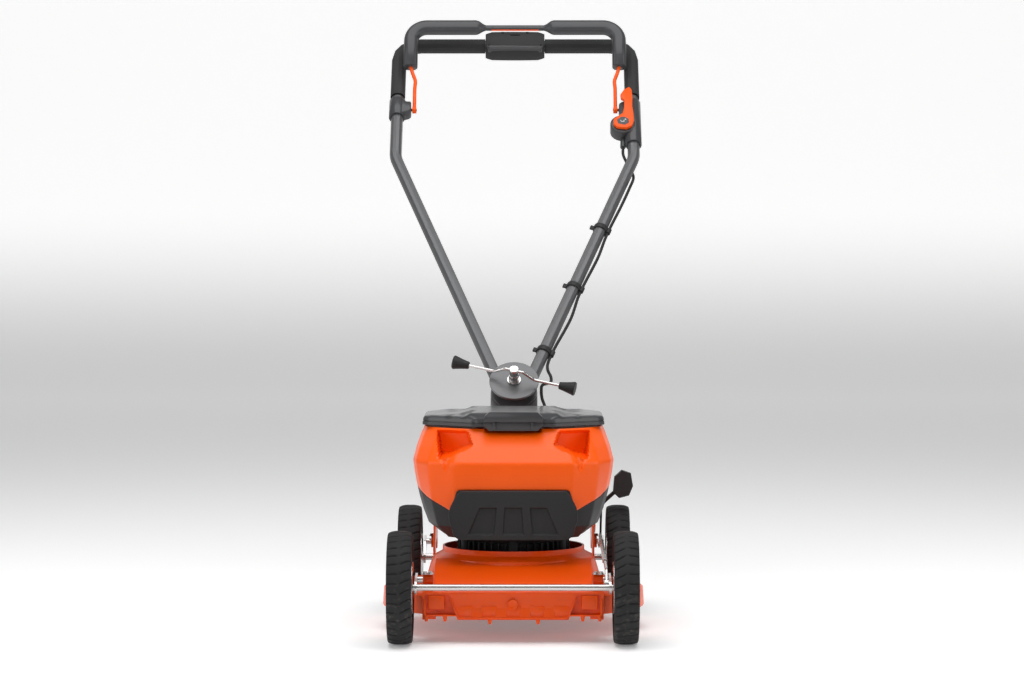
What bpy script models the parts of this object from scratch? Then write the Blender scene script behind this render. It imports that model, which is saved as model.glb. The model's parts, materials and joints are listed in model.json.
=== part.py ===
"""Compact battery push mower with a one-arm swivel handle, as an assembly of separate parts.

All lengths are in metres. -Y is the mower's front, +X its left-hand side, +Z is up, and it stands on
z = 0. Each sub-part is one named object. The chassis is laid out from the motor shaft, and is moved at
the end so that the world origin is under the middle of the whole mower.
"""

import math

import bmesh
import bpy
import numpy as np
from mathutils import Matrix, Vector
from mathutils.geometry import convex_hull_2d

FIT_GAP = 0.0003
RUN_GAP = 0.0005

# The deck's radius sets where the wheels stand
DECK_RADIUS = 0.240

# Wheels
WHEEL_RADIUS = 0.100
WHEEL_WIDTH = 0.044
WHEEL_X = DECK_RADIUS - 0.0415
RIM_RADIUS = 0.078
HUB_RADIUS = 0.016
STUB_RADIUS = 0.006
FRONT_AXLE_Y = -DECK_RADIUS - 0.020
REAR_AXLE_Y = DECK_RADIUS + 0.020

# Cutting height cranks: pivots on the chassis, link rod eyes relative to them
FRONT_PIVOT = Vector((FRONT_AXLE_Y + 0.055, 0.108))
REAR_PIVOT = Vector((REAR_AXLE_Y + 0.060, 0.124))
LINK_EYE = Vector((-0.040, -0.002))
CRANK_PLATE = 0.004
CRANK_BOSS_RADIUS = 0.012
PIVOT_PIN_RADIUS = 0.0057
LINK_PIN_RADIUS = 0.0025
LINK_ROD_RADIUS = 0.0028
LINK_SLEEVE_RADIUS = 0.0042
CRANK_X = WHEEL_X - WHEEL_WIDTH / 2 - 0.0073
LINK_X = CRANK_X - 0.0042

# Cutting deck
DECK_WALL = 0.0035
DECK_LENGTH_SHARE = 0.9375
DECK_RIM_Z = 0.042
DECK_SHOULDER_Z = 0.078
COLLAR_RADIUS = 0.130
COLLAR_TOP_Z = 0.150
NOSE_HALF_WIDTH = WHEEL_X - 0.0585
SHELF_HALF_WIDTH = WHEEL_X - 0.0385
SHELF_Z = 0.090
NOSE_Y = FRONT_AXLE_Y + 0.008
NOTCH_COUNT = 5
NOTCH_PITCH = 0.0425
NOTCH_SIZE = (0.023, 0.014)
DECK_SEGMENTS = 40

# Motor and blade
SHAFT_RADIUS = 0.0075
MOTOR_RADIUS = 0.062
MOTOR_TOP_Z = 0.214
MOUNT_FLOOR_Z = COLLAR_TOP_Z - 0.0112
MOUNT_TOP_Z = 0.1725
BLADE_LENGTH = 0.420
BLADE_WIDTH = 0.046
BLADE_THICKNESS = 0.003
BLADE_Z = 0.052

# Body shells
SHELL_WALL = 0.0025
BODY_HALF_WIDTH = 0.1825
BODY_FRONT_Y = -0.152
BODY_REAR_Y = 0.170
SKIRT_BOTTOM_Z = MOUNT_TOP_Z + FIT_GAP
SKIRT_TOP_Z = 0.2447
HOOD_TOP_Z = 0.3695
COVER_DEPTH = 0.010
LID_HALF_WIDTH = BODY_HALF_WIDTH - 0.0135
LID_FRONT_Y = -0.100
LID_REAR_Y = 0.1655
LID_TOP_Z = 0.398
LID_PIN_RADIUS = 0.002
LID_PIN_Y = 0.1685
LID_PIN_Z = 0.3765

# Battery bay and electronics
BATTERY_SIZE = (0.150, 0.100, 0.092)
BATTERY_CLEARANCE = 0.0012
BAY_WALL = 0.002
BAY_FLOOR_Z = 0.258
BAY_CENTRE_Y = 0.030

# Handle: swivel centre, tilt, tubes measured along the handle from the swivel centre
SWIVEL_Y = 0.300
SWIVEL_Z = 0.425
HANDLE_TILT = math.radians(45)
DISC_RADIUS = 0.0475
DISC_THICKNESS = 0.005
TUBE_RADIUS = 0.0125
TUBE_WALL = 0.0016
TUBE_START = 0.020
TUBE_START_X = 0.0267 + 0.3456 * TUBE_START
GRIP_X = 0.245
HANDLE_TOP = 0.972
TUBE_BEND = HANDLE_TOP - 0.340
TUBE_JOINT = HANDLE_TOP - 0.207
POD_LOW = HANDLE_TOP - 0.304
WING_CENTRE = HANDLE_TOP - 0.256
CORNER_RADIUS = 0.045
GRIP_RADIUS = TUBE_RADIUS + 0.003
GRIP_START = HANDLE_TOP - 0.160
PANEL_HALF_WIDTH = 0.063

# Bail
BAIL_PIVOT = HANDLE_TOP - 0.197
BAIL_ARM_X = 0.2095
BAIL_COVER_X = 0.221
BAIL_REACH = 0.200
BAIL_RELEASED = math.radians(17)
BAIL_ROD_RADIUS = 0.004
BAIL_COVER_RADIUS = 0.0138
BAIL_COVER_START = 0.103
BAIL_COVER_END_X = 0.066

# Clamp bar
CLAMP_BAR_HALF = 0.0960
CLAMP_BAR_RADIUS = 0.003
CLAMP_BAR_ANGLE = math.radians(-16.6)
CLAMP_BAR_RISE = 0.014
KNOB_LENGTH = 0.032
KNOB_RADII = (0.007, 0.0135)

# Control cable
CABLE_RADIUS = 0.003
CABLE_SPLIT_X = 0.0625
CLIP_PLACES = (0.090, (TUBE_BEND - 0.118) / 2 + 0.005, TUBE_BEND - 0.208)


# ---------------------------------------------------------------- helpers


def clear_scene():
    for obj in list(bpy.data.objects):
        bpy.data.objects.remove(obj, do_unlink=True)


def material(name, colour, roughness, metallic=0.0):
    """A plain Principled material, made once for each name."""
    found = bpy.data.materials.get(name)
    if found:
        return found
    made = bpy.data.materials.new(name)
    made.use_nodes = True
    shader = made.node_tree.nodes["Principled BSDF"]
    shader.inputs["Base Color"].default_value = (*colour, 1.0)
    shader.inputs["Roughness"].default_value = roughness
    shader.inputs["Metallic"].default_value = metallic
    return made


def orange_paint():
    return material("orange_paint", (0.79, 0.12, 0.006), 0.35)


def orange_plastic():
    return material("orange_plastic", (0.92, 0.17, 0.02), 0.38)


def black_plastic():
    return material("black_plastic", (0.030, 0.030, 0.031), 0.55)


def grey_plastic():
    return material("grey_plastic", (0.060, 0.062, 0.066), 0.30)


def tyre_rubber():
    return material("tyre_rubber", (0.028, 0.028, 0.028), 0.80)


def grip_rubber():
    return material("grip_rubber", (0.036, 0.036, 0.037), 0.65)


def coated_tube():
    return material("coated_tube", (0.10, 0.10, 0.105), 0.40, 0.6)


def bright_steel():
    return material("bright_steel", (0.58, 0.56, 0.55), 0.28, 1.0)


def blade_steel():
    return material("blade_steel", (0.18, 0.18, 0.19), 0.35, 1.0)


def cast_metal():
    return material("cast_metal", (0.42, 0.42, 0.43), 0.45, 1.0)


def dress(obj, finish, parent, smooth=True):
    """Gives an object its material, its parent and its shading, and puts it in the scene."""
    if obj.name not in bpy.context.scene.collection.objects:
        bpy.context.scene.collection.objects.link(obj)
    obj.data.materials.clear()
    obj.data.materials.append(finish)
    obj.parent = parent
    if smooth:
        obj.data.shade_smooth()
        obj.data.set_sharp_from_angle(angle=math.radians(35))
    return obj


def from_bmesh(name, bm):
    """An object made from a bmesh, whose faces are turned to point outwards."""
    bmesh.ops.remove_doubles(bm, verts=bm.verts, dist=1e-6)
    bmesh.ops.recalc_face_normals(bm, faces=bm.faces)
    mesh = bpy.data.meshes.new(name)
    bm.to_mesh(mesh)
    bm.free()
    return bpy.data.objects.new(name, mesh)


def box(name, low, high):
    """A box between two corners."""
    low, high = Vector(low), Vector(high)
    bm = bmesh.new()
    bmesh.ops.create_cube(bm, size=1.0)
    bmesh.ops.scale(bm, vec=high - low, verts=bm.verts)
    bmesh.ops.translate(bm, vec=(low + high) / 2, verts=bm.verts)
    return from_bmesh(name, bm)


AXES = {"X": Matrix.Rotation(math.radians(90), 4, "Y"), "Y": Matrix.Rotation(math.radians(-90), 4, "X"), "Z": Matrix()}


def cylinder(name, radius, start, end, centre, axis="Z", segments=24):
    """A round bar from start to end along an axis, whose centre line passes through centre."""
    bm = bmesh.new()
    bmesh.ops.create_cone(
        bm, cap_ends=True, segments=segments, radius1=radius, radius2=radius, depth=end - start
    )
    bmesh.ops.translate(bm, vec=(0, 0, (start + end) / 2), verts=bm.verts)
    bmesh.ops.transform(bm, matrix=Matrix.Translation(centre) @ AXES[axis], verts=bm.verts)
    return from_bmesh(name, bm)


def turned(name, profile, segments=36, closed=True):
    """A profile of (radius, height) points turned round Z. An open one starts and ends on the axis."""
    bm = bmesh.new()
    points = [bm.verts.new((radius, 0, height)) for radius, height in profile]
    pairs = list(zip(points, points[1:]))
    if closed:
        pairs.append((points[-1], points[0]))
    lines = [bm.edges.new(pair) for pair in pairs]
    bmesh.ops.spin(
        bm, geom=points + lines, axis=(0, 0, 1), cent=(0, 0, 0), angle=math.tau, steps=segments, use_merge=True
    )
    return from_bmesh(name, bm)


def prism(name, outline, start, end, plane="YZ"):
    """An outline of two-dimensional points extruded from start to end along the third axis."""
    place = {
        "YZ": lambda a, b, c: (c, a, b),
        "XZ": lambda a, b, c: (a, c, b),
        "XY": lambda a, b, c: (a, b, c),
    }[plane]
    bm = bmesh.new()
    face = bm.faces.new([bm.verts.new(place(a, b, start)) for a, b in outline])
    grown = bmesh.ops.extrude_face_region(bm, geom=[face])
    moved = [item for item in grown["geom"] if isinstance(item, bmesh.types.BMVert)]
    bmesh.ops.translate(bm, vec=place(0, 0, end - start), verts=moved)
    return from_bmesh(name, bm)


def loft(name, rings, cap_start=True, cap_end=True):
    """Closed rings of points bridged one to the next, with flat ends."""
    bm = bmesh.new()
    loops = []
    for ring in rings:
        points = [bm.verts.new(point) for point in ring]
        loops.append([bm.edges.new(pair) for pair in zip(points, points[1:] + points[:1])])
    for lower, upper in zip(loops, loops[1:]):
        bmesh.ops.bridge_loops(bm, edges=lower + upper)
    for loop, wanted in ((loops[0], cap_start), (loops[-1], cap_end)):
        if wanted:
            bmesh.ops.contextual_create(bm, geom=loop)
    return from_bmesh(name, bm)


def rounded_path(corners, radius, steps=6):
    """A path through corner points, each inner corner turned into an arc of the radius."""
    corners = [Vector(corner) for corner in corners]
    path = [corners[0]]
    for before, corner, after in zip(corners, corners[1:], corners[2:]):
        back, ahead = (before - corner).normalized(), (after - corner).normalized()
        half = back.angle(ahead) / 2
        middle = corner + (back + ahead).normalized() * radius / math.sin(half)
        first = corner + back * radius / math.tan(half)
        last = corner + ahead * radius / math.tan(half)
        start, end = (first - middle).normalized(), (last - middle).normalized()
        for step in range(steps + 1):
            path.append(middle + start.slerp(end, step / steps) * radius)
    return path + [corners[-1]]


def smooth_route(points, spacing):
    """Points at an even spacing along a smooth curve through a route's own points."""
    points = [Vector(point) for point in points]
    ends = [2 * points[0] - points[1], *points, 2 * points[-1] - points[-2]]
    fine = [points[0]]
    for a, b, c, d in zip(ends, ends[1:], ends[2:], ends[3:]):
        for step in range(1, 41):
            u = step / 40
            fine.append(
                0.5 * (2 * b + (c - a) * u + (2 * a - 5 * b + 4 * c - d) * u**2 + (3 * b - a - 3 * c + d) * u**3)
            )
    travel = np.concatenate([[0], np.cumsum([(q - p).length for p, q in zip(fine, fine[1:])])])
    marks = np.linspace(0, travel[-1], max(3, round(travel[-1] / spacing) + 1))
    columns = [np.interp(marks, travel, [point[axis] for point in fine]) for axis in range(3)]
    return [Vector(place) for place in zip(*columns)]


def rod(name, path, radius, resolution=4, wall=None):
    """A round rod along a path, or a tube open at both ends where it has a wall."""
    curve = bpy.data.curves.new(name, "CURVE")
    curve.dimensions = "3D"
    curve.bevel_depth = radius
    curve.bevel_resolution = resolution
    curve.use_fill_caps = wall is None
    spline = curve.splines.new("POLY")
    spline.points.add(len(path) - 1)
    for point, place in zip(spline.points, path):
        point.co = (*place, 1.0)
    obj = bpy.data.objects.new(name, curve)
    if wall is not None:
        hollow = obj.modifiers.new("Wall", "SOLIDIFY")
        hollow.thickness = wall
        hollow.offset = -1.0
    bpy.context.scene.collection.objects.link(obj)
    return obj


def as_mesh(obj):
    """A curve object turned into a mesh object of the same name, its modifiers applied."""
    name, curve = obj.name, obj.data
    depsgraph = bpy.context.evaluated_depsgraph_get()
    mesh = bpy.data.meshes.new_from_object(obj.evaluated_get(depsgraph))
    bpy.data.objects.remove(obj, do_unlink=True)
    bpy.data.curves.remove(curve)
    made = bpy.data.objects.new(name, mesh)
    bm = bmesh.new()
    bm.from_mesh(mesh)
    bmesh.ops.remove_doubles(bm, verts=bm.verts, dist=1e-6)
    bmesh.ops.recalc_face_normals(bm, faces=bm.faces)
    bm.to_mesh(mesh)
    bm.free()
    return made


def boolean(target, operation, *tools):
    """Joins tools to the target or cuts them from it, and hides them as guides."""
    for tool in tools:
        if tool.name not in bpy.context.scene.collection.objects:
            bpy.context.scene.collection.objects.link(tool)
        tool.parent = target.parent
        tool.hide_render = True
        tool.display_type = "WIRE"
        step = target.modifiers.new(tool.name, "BOOLEAN")
        step.operation = operation
        step.solver = "EXACT"
        step.object = tool
    return target


def union(target, *tools):
    return boolean(target, "UNION", *tools)


def cut(target, *tools):
    return boolean(target, "DIFFERENCE", *tools)


def empty(name, parent=None, location=(0, 0, 0), rotation=(0, 0, 0)):
    """An empty that places what is parented to it."""
    obj = bpy.data.objects.new(name, None)
    obj.location = location
    obj.rotation_euler = rotation
    obj.parent = parent
    bpy.context.scene.collection.objects.link(obj)
    return obj


def plate_outline(*circles, points=16):
    """The outline round a few (y, z, radius) circles, as a plate with bossed corners has."""
    ring = []
    for y, z, radius in circles:
        for step in range(points):
            turn = math.tau * step / points
            ring.append((y + radius * math.cos(turn), z + radius * math.sin(turn)))
    return [ring[index] for index in convex_hull_2d(ring)]


def side_name(sign):
    return "left" if sign > 0 else "right"


# ---------------------------------------------------------------- cutting deck


def deck_profile():
    """The chamber's wall as turned: up the outside from the rim to the collar, and down the inside."""
    ledge_z = MOUNT_FLOOR_Z - FIT_GAP
    return [
        (DECK_RADIUS, DECK_RIM_Z),
        (DECK_RADIUS - 0.002, DECK_SHOULDER_Z - 0.004),
        (DECK_RADIUS - 0.007, DECK_SHOULDER_Z),
        (0.170, DECK_SHOULDER_Z + 0.003),
        (0.160, 0.090),
        (0.152, 0.118),
        (0.146, 0.132),
        (COLLAR_RADIUS + 0.004, 0.138),
        (COLLAR_RADIUS, 0.141),
        (COLLAR_RADIUS, COLLAR_TOP_Z),
        (COLLAR_RADIUS - 0.0032, COLLAR_TOP_Z),
        (COLLAR_RADIUS - 0.0032, ledge_z),
        (COLLAR_RADIUS - 0.020, ledge_z),
        (COLLAR_RADIUS - 0.020, ledge_z - 0.004),
        (COLLAR_RADIUS, ledge_z - 0.0045),
        (0.1430, 0.1285),
        (0.1485, 0.1165),
        (0.1565, 0.0870),
        (0.1680, DECK_SHOULDER_Z - 0.0005),
        (DECK_RADIUS - 0.009, DECK_SHOULDER_Z - DECK_WALL),
        (DECK_RADIUS - 0.0055, DECK_SHOULDER_Z - 0.0060),
        (DECK_RADIUS - DECK_WALL, DECK_RIM_Z),
    ]


def flattened(obj):
    """A turned deck piece made shorter from front to rear outside its collar, so that the wheels clear it."""
    start, full = COLLAR_RADIUS + 0.004, 0.170
    for vertex in obj.data.vertices:
        radius = math.hypot(vertex.co.x, vertex.co.y)
        share = min(max((radius - start) / (full - start), 0.0), 1.0)
        vertex.co.y *= 1.0 - (1.0 - DECK_LENGTH_SHARE) * share
    return obj


def make_deck(chassis):
    """The round cutting chamber with its collar, and the low nose that reaches between the front wheels."""
    deck = flattened(turned("deck", deck_profile(), segments=DECK_SEGMENTS))
    dress(deck, orange_paint(), chassis)
    wall = DECK_WALL
    top = [(-0.090, 0.134), (-0.150, 0.126), (-0.232, 0.097), (-0.243, 0.088), (NOSE_Y, DECK_RIM_Z)]
    under = [(-0.090, 0.134 - wall), (-0.149, 0.126 - wall), (-0.230, 0.097 - wall)]
    under += [(-0.240, 0.087), (NOSE_Y + wall, DECK_RIM_Z - 0.002)]
    nose = prism("nose", top + [(-0.090, DECK_RIM_Z)], -NOSE_HALF_WIDTH, NOSE_HALF_WIDTH)
    nose.parent = chassis
    inner = NOSE_HALF_WIDTH - wall
    nose_hollow = prism("nose_hollow", under + [(-0.080, DECK_RIM_Z - 0.002), (-0.080, 0.130)], -inner, inner)
    shelf_front = NOSE_Y + 0.004
    shelf = box("shelf", (-SHELF_HALF_WIDTH, shelf_front, DECK_RIM_Z), (SHELF_HALF_WIDTH, -0.105, SHELF_Z))
    inner = SHELF_HALF_WIDTH - wall
    shelf_hollow = box(
        "shelf_hollow", (-inner, shelf_front + 0.012, DECK_RIM_Z - 0.003), (inner, -0.095, SHELF_Z - wall)
    )
    shift = wall / 2
    core_profile = [(0.0, DECK_RIM_Z - wall), (DECK_RADIUS - shift, DECK_RIM_Z - wall)]
    core_profile += [(radius + shift, height + shift) for radius, height in reversed(deck_profile()[14:-1])]
    core_profile += [(0.0, core_profile[-1][1])]
    core = flattened(turned("chamber_core", core_profile, segments=DECK_SEGMENTS, closed=False))
    union(nose, shelf)
    cut(nose, nose_hollow, shelf_hollow, core)
    notches = []
    for place in range(NOTCH_COUNT):
        x = (place - (NOTCH_COUNT - 1) / 2) * NOTCH_PITCH
        width, height = NOTCH_SIZE
        notches.append(
            box(f"notch_{place}", (x - width / 2, NOSE_Y - 0.01, 0.048), (x + width / 2, NOSE_Y + 0.012, 0.048 + height))
        )
    cut(nose, *notches)
    union(deck, nose)


def make_pivot_clamps(chassis):
    """Clamp blocks that hold the pivot pins of the two crank axles."""
    for sign in (1, -1):
        for end, pivot, foot_z, inner_x in (
            ("front", FRONT_PIVOT, SHELF_Z + FIT_GAP, SHELF_HALF_WIDTH - 0.0177),
            ("rear", REAR_PIVOT, REAR_PIVOT[1] - CRANK_BOSS_RADIUS, SHELF_HALF_WIDTH - 0.0077),
        ):
            y, z = pivot
            half = CRANK_BOSS_RADIUS
            outline = plate_outline((y, z, half), (y, max(z, foot_z + half), half))
            low, high = sorted((sign * inner_x, sign * SHELF_HALF_WIDTH))
            name = f"{end}_clamp_{side_name(sign)}"
            clamp = dress(prism(name, outline, low, high), orange_paint(), chassis)
            if end == "front":
                foot = box(f"{name}_foot", (low, y - 0.019, foot_z), (high, y + half, foot_z + 0.008))
                union(clamp, foot)
                below = box(f"{name}_below", (low - 0.01, y - 0.03, foot_z - 0.03), (high + 0.01, y + 0.03, foot_z))
                cut(clamp, below)
            bore = cylinder(f"{name}_bore", PIVOT_PIN_RADIUS + RUN_GAP, low - 0.01, high + 0.01, (0, y, z), "X")
            cut(clamp, bore)


# ---------------------------------------------------------------- motor and blade


def make_motor(chassis):
    """The mount that sits in the deck's collar, the motor's can on it, and the turning shaft with its rotor."""
    ring = COLLAR_RADIUS - 0.0032 - FIT_GAP
    floor = MOUNT_FLOOR_Z + 0.006
    bore = SHAFT_RADIUS + 0.002
    mount = turned(
        "motor_mount",
        [
            (ring, MOUNT_FLOOR_Z),
            (ring, MOUNT_TOP_Z - 0.012),
            (ring - 0.003, MOUNT_TOP_Z),
            (ring - 0.012, MOUNT_TOP_Z),
            (ring - 0.012, floor),
            (bore, floor),
            (bore, MOUNT_FLOOR_Z),
        ],
        segments=DECK_SEGMENTS,
    )
    dress(mount, black_plastic(), chassis)
    can_wall = 0.004
    foot = floor + FIT_GAP
    can = turned(
        "motor_can",
        [
            (MOTOR_RADIUS, foot),
            (MOTOR_RADIUS, MOTOR_TOP_Z - 0.004),
            (MOTOR_RADIUS - 0.004, MOTOR_TOP_Z),
            (bore, MOTOR_TOP_Z),
            (bore, MOTOR_TOP_Z - can_wall),
            (MOTOR_RADIUS - 0.014, MOTOR_TOP_Z - can_wall),
            (MOTOR_RADIUS - 0.014, foot),
        ],
    )
    dress(can, cast_metal(), chassis)
    rotor = MOTOR_RADIUS - 0.014 - 0.001
    shaft = turned(
        "rotor_shaft",
        [
            (0.0, BLADE_Z + BLADE_THICKNESS + 0.0050),
            (SHAFT_RADIUS, BLADE_Z + BLADE_THICKNESS + 0.0050),
            (SHAFT_RADIUS, foot + 0.006),
            (rotor, foot + 0.006),
            (rotor, MOTOR_TOP_Z - can_wall - 0.004),
            (SHAFT_RADIUS, MOTOR_TOP_Z - can_wall - 0.004),
            (SHAFT_RADIUS, MOTOR_TOP_Z + 0.004),
            (0.0, MOTOR_TOP_Z + 0.004),
        ],
        segments=24,
        closed=False,
    )
    dress(shaft, bright_steel(), chassis)


def make_blade(chassis):
    """The cutting blade, the hub that presses it on the shaft, and the bolt from below."""
    blade_top = BLADE_Z + BLADE_THICKNESS
    hub_foot = blade_top + FIT_GAP
    hub = turned(
        "blade_hub",
        [
            (0.030, hub_foot),
            (0.030, hub_foot + 0.005),
            (0.016, hub_foot + 0.008),
            (0.016, hub_foot + 0.045),
            (SHAFT_RADIUS + FIT_GAP, hub_foot + 0.045),
            (SHAFT_RADIUS + FIT_GAP, hub_foot + 0.0040),
            (0.0055, hub_foot + 0.0040),
            (0.0055, hub_foot),
        ],
        segments=24,
    )
    dress(hub, cast_metal(), chassis)
    half, edge = BLADE_LENGTH / 2, BLADE_WIDTH / 2
    outline = [
        (-half, -edge), (-half * 0.62, -edge), (-0.040, -edge * 1.1), (0.040, -edge * 1.1), (half * 0.62, -edge * 0.86),
        (half - 0.006, -edge * 0.5), (half, edge), (half * 0.62, edge), (0.040, edge * 1.1), (-0.040, edge * 1.1),
        (-half * 0.62, edge * 0.86), (-half + 0.006, edge * 0.5),
    ]
    blade = prism("blade", outline, BLADE_Z, blade_top, "XY")
    dress(blade, blade_steel(), chassis, smooth=False)
    hole = cylinder("blade_hole", 0.0055, BLADE_Z - 0.01, blade_top + 0.01, (0, 0, 0))
    cut(blade, hole)
    bolt = turned(
        "blade_bolt",
        [
            (0.0, BLADE_Z - FIT_GAP - 0.010),
            (0.009, BLADE_Z - FIT_GAP - 0.010),
            (0.009, BLADE_Z - FIT_GAP - 0.003),
            (0.014, BLADE_Z - FIT_GAP - 0.003),
            (0.014, BLADE_Z - FIT_GAP),
            (0.005, BLADE_Z - FIT_GAP),
            (0.005, hub_foot + 0.0040),
            (0.0, hub_foot + 0.0040),
        ],
        segments=18,
        closed=False,
    )
    dress(bolt, bright_steel(), chassis)


# ---------------------------------------------------------------- body shells


def body_ring(height, half_width, front_y, rear_y, face_half):
    """One level outline of the body: a narrow front face, bevelled front corners and cut rear corners."""
    shoulder = (half_width + face_half) / 2
    right = [
        (face_half, front_y),
        (shoulder + 0.010, front_y + 0.030),
        (half_width, front_y + 0.090),
        (half_width, rear_y - 0.060),
        (half_width - 0.030, rear_y),
    ]
    left = [(-x, y) for x, y in reversed(right)]
    return [(x, y, height) for x, y in right + left]


def shell_of(obj, wall=SHELL_WALL):
    """Gives an open surface its wall, inwards."""
    step = obj.modifiers.new("Wall", "SOLIDIFY")
    step.thickness = wall
    step.offset = -1.0
    step.use_even_offset = True
    return obj


def make_body(chassis):
    """The black skirt that sits on the motor mount, the front cover on it, and the orange hood."""
    front, rear = BODY_FRONT_Y, BODY_REAR_Y
    wide, face = BODY_HALF_WIDTH, BODY_HALF_WIDTH - 0.0825
    skirt = loft(
        "skirt",
        [
            body_ring(SKIRT_BOTTOM_Z, wide - 0.0825, -0.095, rear - 0.080, face - 0.040),
            body_ring(SKIRT_BOTTOM_Z + 0.0005, wide - 0.0555, -0.122, rear - 0.050, face - 0.010),
            body_ring(0.196, wide - 0.0285, front + 0.006, rear - 0.015, face),
            body_ring(0.222, wide - 0.0189, front, rear, face),
            body_ring(SKIRT_TOP_Z, wide - 0.0125, front, rear, face),
        ],
        cap_start=False,
        cap_end=False,
    )
    dress(shell_of(skirt), black_plastic(), chassis)
    hood = loft(
        "hood",
        [
            body_ring(SKIRT_TOP_Z + FIT_GAP, wide - 0.0125, front, rear, face),
            body_ring(0.308, wide, front + 0.001, rear, face),
            body_ring(0.335, wide - 0.0065, front + 0.024, rear, face - 0.015),
            body_ring(0.358, wide - 0.0145, front + 0.052, rear, face - 0.025),
            body_ring(HOOD_TOP_Z, wide - 0.0190, front + 0.060, rear, face - 0.025),
            body_ring(HOOD_TOP_Z + 0.0002, wide - 0.0675, -0.050, rear - 0.045, face - 0.005),
        ],
        cap_start=False,
        cap_end=False,
    )
    dress(shell_of(hood), orange_plastic(), chassis)
    make_front_cover(chassis)


def make_front_cover(chassis):
    """The black front cover, with three tapered pockets."""
    outline = [(-0.107, 0.1735), (0.107, 0.1735), (0.116, 0.225), (0.100, 0.261), (-0.100, 0.261), (-0.116, 0.225)]
    back = BODY_FRONT_Y - FIT_GAP
    cover = prism("front_cover", outline, back - COVER_DEPTH, back, "XZ")
    dress(cover, black_plastic(), chassis, smooth=False)
    pockets = []
    for name, low_left, low_right, high_left, high_right in (
        ("left", 0.037, 0.079, 0.030, 0.061),
        ("middle", -0.018, 0.018, -0.0145, 0.0145),
        ("right", -0.079, -0.037, -0.061, -0.030),
    ):
        shape = [(low_left, 0.183), (low_right, 0.183), (high_right, 0.232), (high_left, 0.232)]
        pockets.append(prism(f"pocket_{name}", shape, back - COVER_DEPTH - 0.01, back - COVER_DEPTH + 0.004, "XZ"))
    cut(cover, *pockets)


def lid_ring(height, inset, half_width=LID_HALF_WIDTH):
    """One level outline of the lid."""
    front, rear = LID_FRONT_Y + inset, LID_REAR_Y - inset * 0.3
    right = [(half_width * 0.42, front), (half_width, front + 0.070), (half_width, rear - 0.060), (half_width - 0.030, rear)]
    left = [(-x, y) for x, y in reversed(right)]
    return [(x, y, height) for x, y in right + left]


def make_lid(chassis):
    """The rear-hinged battery lid with its hinge pin and front latch."""
    foot = HOOD_TOP_Z + 0.0015
    lid = loft(
        "lid",
        [
            lid_ring(foot, 0.0),
            lid_ring(foot + 0.014, 0.003, LID_HALF_WIDTH - 0.002),
            lid_ring(LID_TOP_Z - 0.005, 0.012, LID_HALF_WIDTH - 0.014),
            lid_ring(LID_TOP_Z, 0.030, LID_HALF_WIDTH * 0.50),
        ],
        cap_start=False,
    )
    dress(shell_of(lid), grey_plastic(), chassis)
    pin = cylinder("lid_pin", LID_PIN_RADIUS, -0.072, 0.072, (0, LID_PIN_Y, LID_PIN_Z), "X", 12)
    dress(pin, bright_steel(), chassis)
    for sign in (1, -1):
        side = side_name(sign)
        low, high = sorted((sign * 0.038, sign * 0.058))
        lug = box(f"lid_lug_{side}", (low, LID_REAR_Y - 0.0015, LID_PIN_Z - 0.0040), (high, LID_PIN_Y + 0.0035, LID_PIN_Z + 0.0040))
        union(lid, lug)
        low, high = sorted((sign * 0.0585, sign * 0.070))
        post = box(f"hood_lug_{side}", (low, LID_REAR_Y + 0.0006, HOOD_TOP_Z - 0.004), (high, LID_PIN_Y + 0.0030, LID_PIN_Z + 0.0035))
        union(bpy.data.objects["hood"], post)
        notch = cylinder(f"lid_notch_{side}", 0.0065, low - 0.0003, high + 0.0004, (0, LID_PIN_Y, LID_PIN_Z), "X", 16)
        cut(lid, notch)
    bore = cylinder("lid_bore", LID_PIN_RADIUS + FIT_GAP, -0.080, 0.080, (0, LID_PIN_Y, LID_PIN_Z), "X", 12)
    cut(lid, bore)
    cut(bpy.data.objects["hood"], cylinder("hood_bore", LID_PIN_RADIUS + FIT_GAP, -0.080, 0.080, (0, LID_PIN_Y, LID_PIN_Z), "X", 12))
    latch_back = LID_FRONT_Y - FIT_GAP
    outline = [(-0.0525, 0.361), (0.0525, 0.361), (0.0525, 0.386), (0.046, LID_TOP_Z), (-0.046, LID_TOP_Z), (-0.0525, 0.386)]
    latch = prism("lid_latch", outline, latch_back - 0.012, latch_back, "XZ")
    dress(latch, grey_plastic(), chassis, smooth=False)


def make_power(chassis):
    """The open battery bay, the battery pack in it, and the motor's controller under it."""
    length, depth, height = BATTERY_SIZE
    half_x, half_y = length / 2 + BATTERY_CLEARANCE, depth / 2 + BATTERY_CLEARANCE
    low, high = BAY_CENTRE_Y - half_y, BAY_CENTRE_Y + half_y
    top = HOOD_TOP_Z - 0.006
    bay = box("battery_bay", (-half_x - BAY_WALL, low - BAY_WALL, BAY_FLOOR_Z), (half_x + BAY_WALL, high + BAY_WALL, top))
    dress(bay, black_plastic(), chassis, smooth=False)
    hollow = box("bay_hollow", (-half_x, low, BAY_FLOOR_Z + BAY_WALL), (half_x, high, top + 0.01))
    cut(bay, hollow)
    seat = BAY_FLOOR_Z + BAY_WALL + FIT_GAP
    pack = box("battery_pack", (-length / 2, BAY_CENTRE_Y - depth / 2, seat), (length / 2, BAY_CENTRE_Y + depth / 2, seat + height))
    dress(pack, grey_plastic(), chassis, smooth=False)
    soften(pack, 0.004)
    controller = box("controller", (-0.060, -0.030, MOTOR_TOP_Z + 0.009), (0.060, 0.060, BAY_FLOOR_Z - 0.006))
    dress(controller, cast_metal(), chassis, smooth=False)


def soften(obj, width, segments=1):
    """Rounds an object's hard edges."""
    step = obj.modifiers.new("Edges", "BEVEL")
    step.width = width
    step.segments = segments
    step.limit_method = "ANGLE"
    return obj


# ---------------------------------------------------------------- running gear


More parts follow.
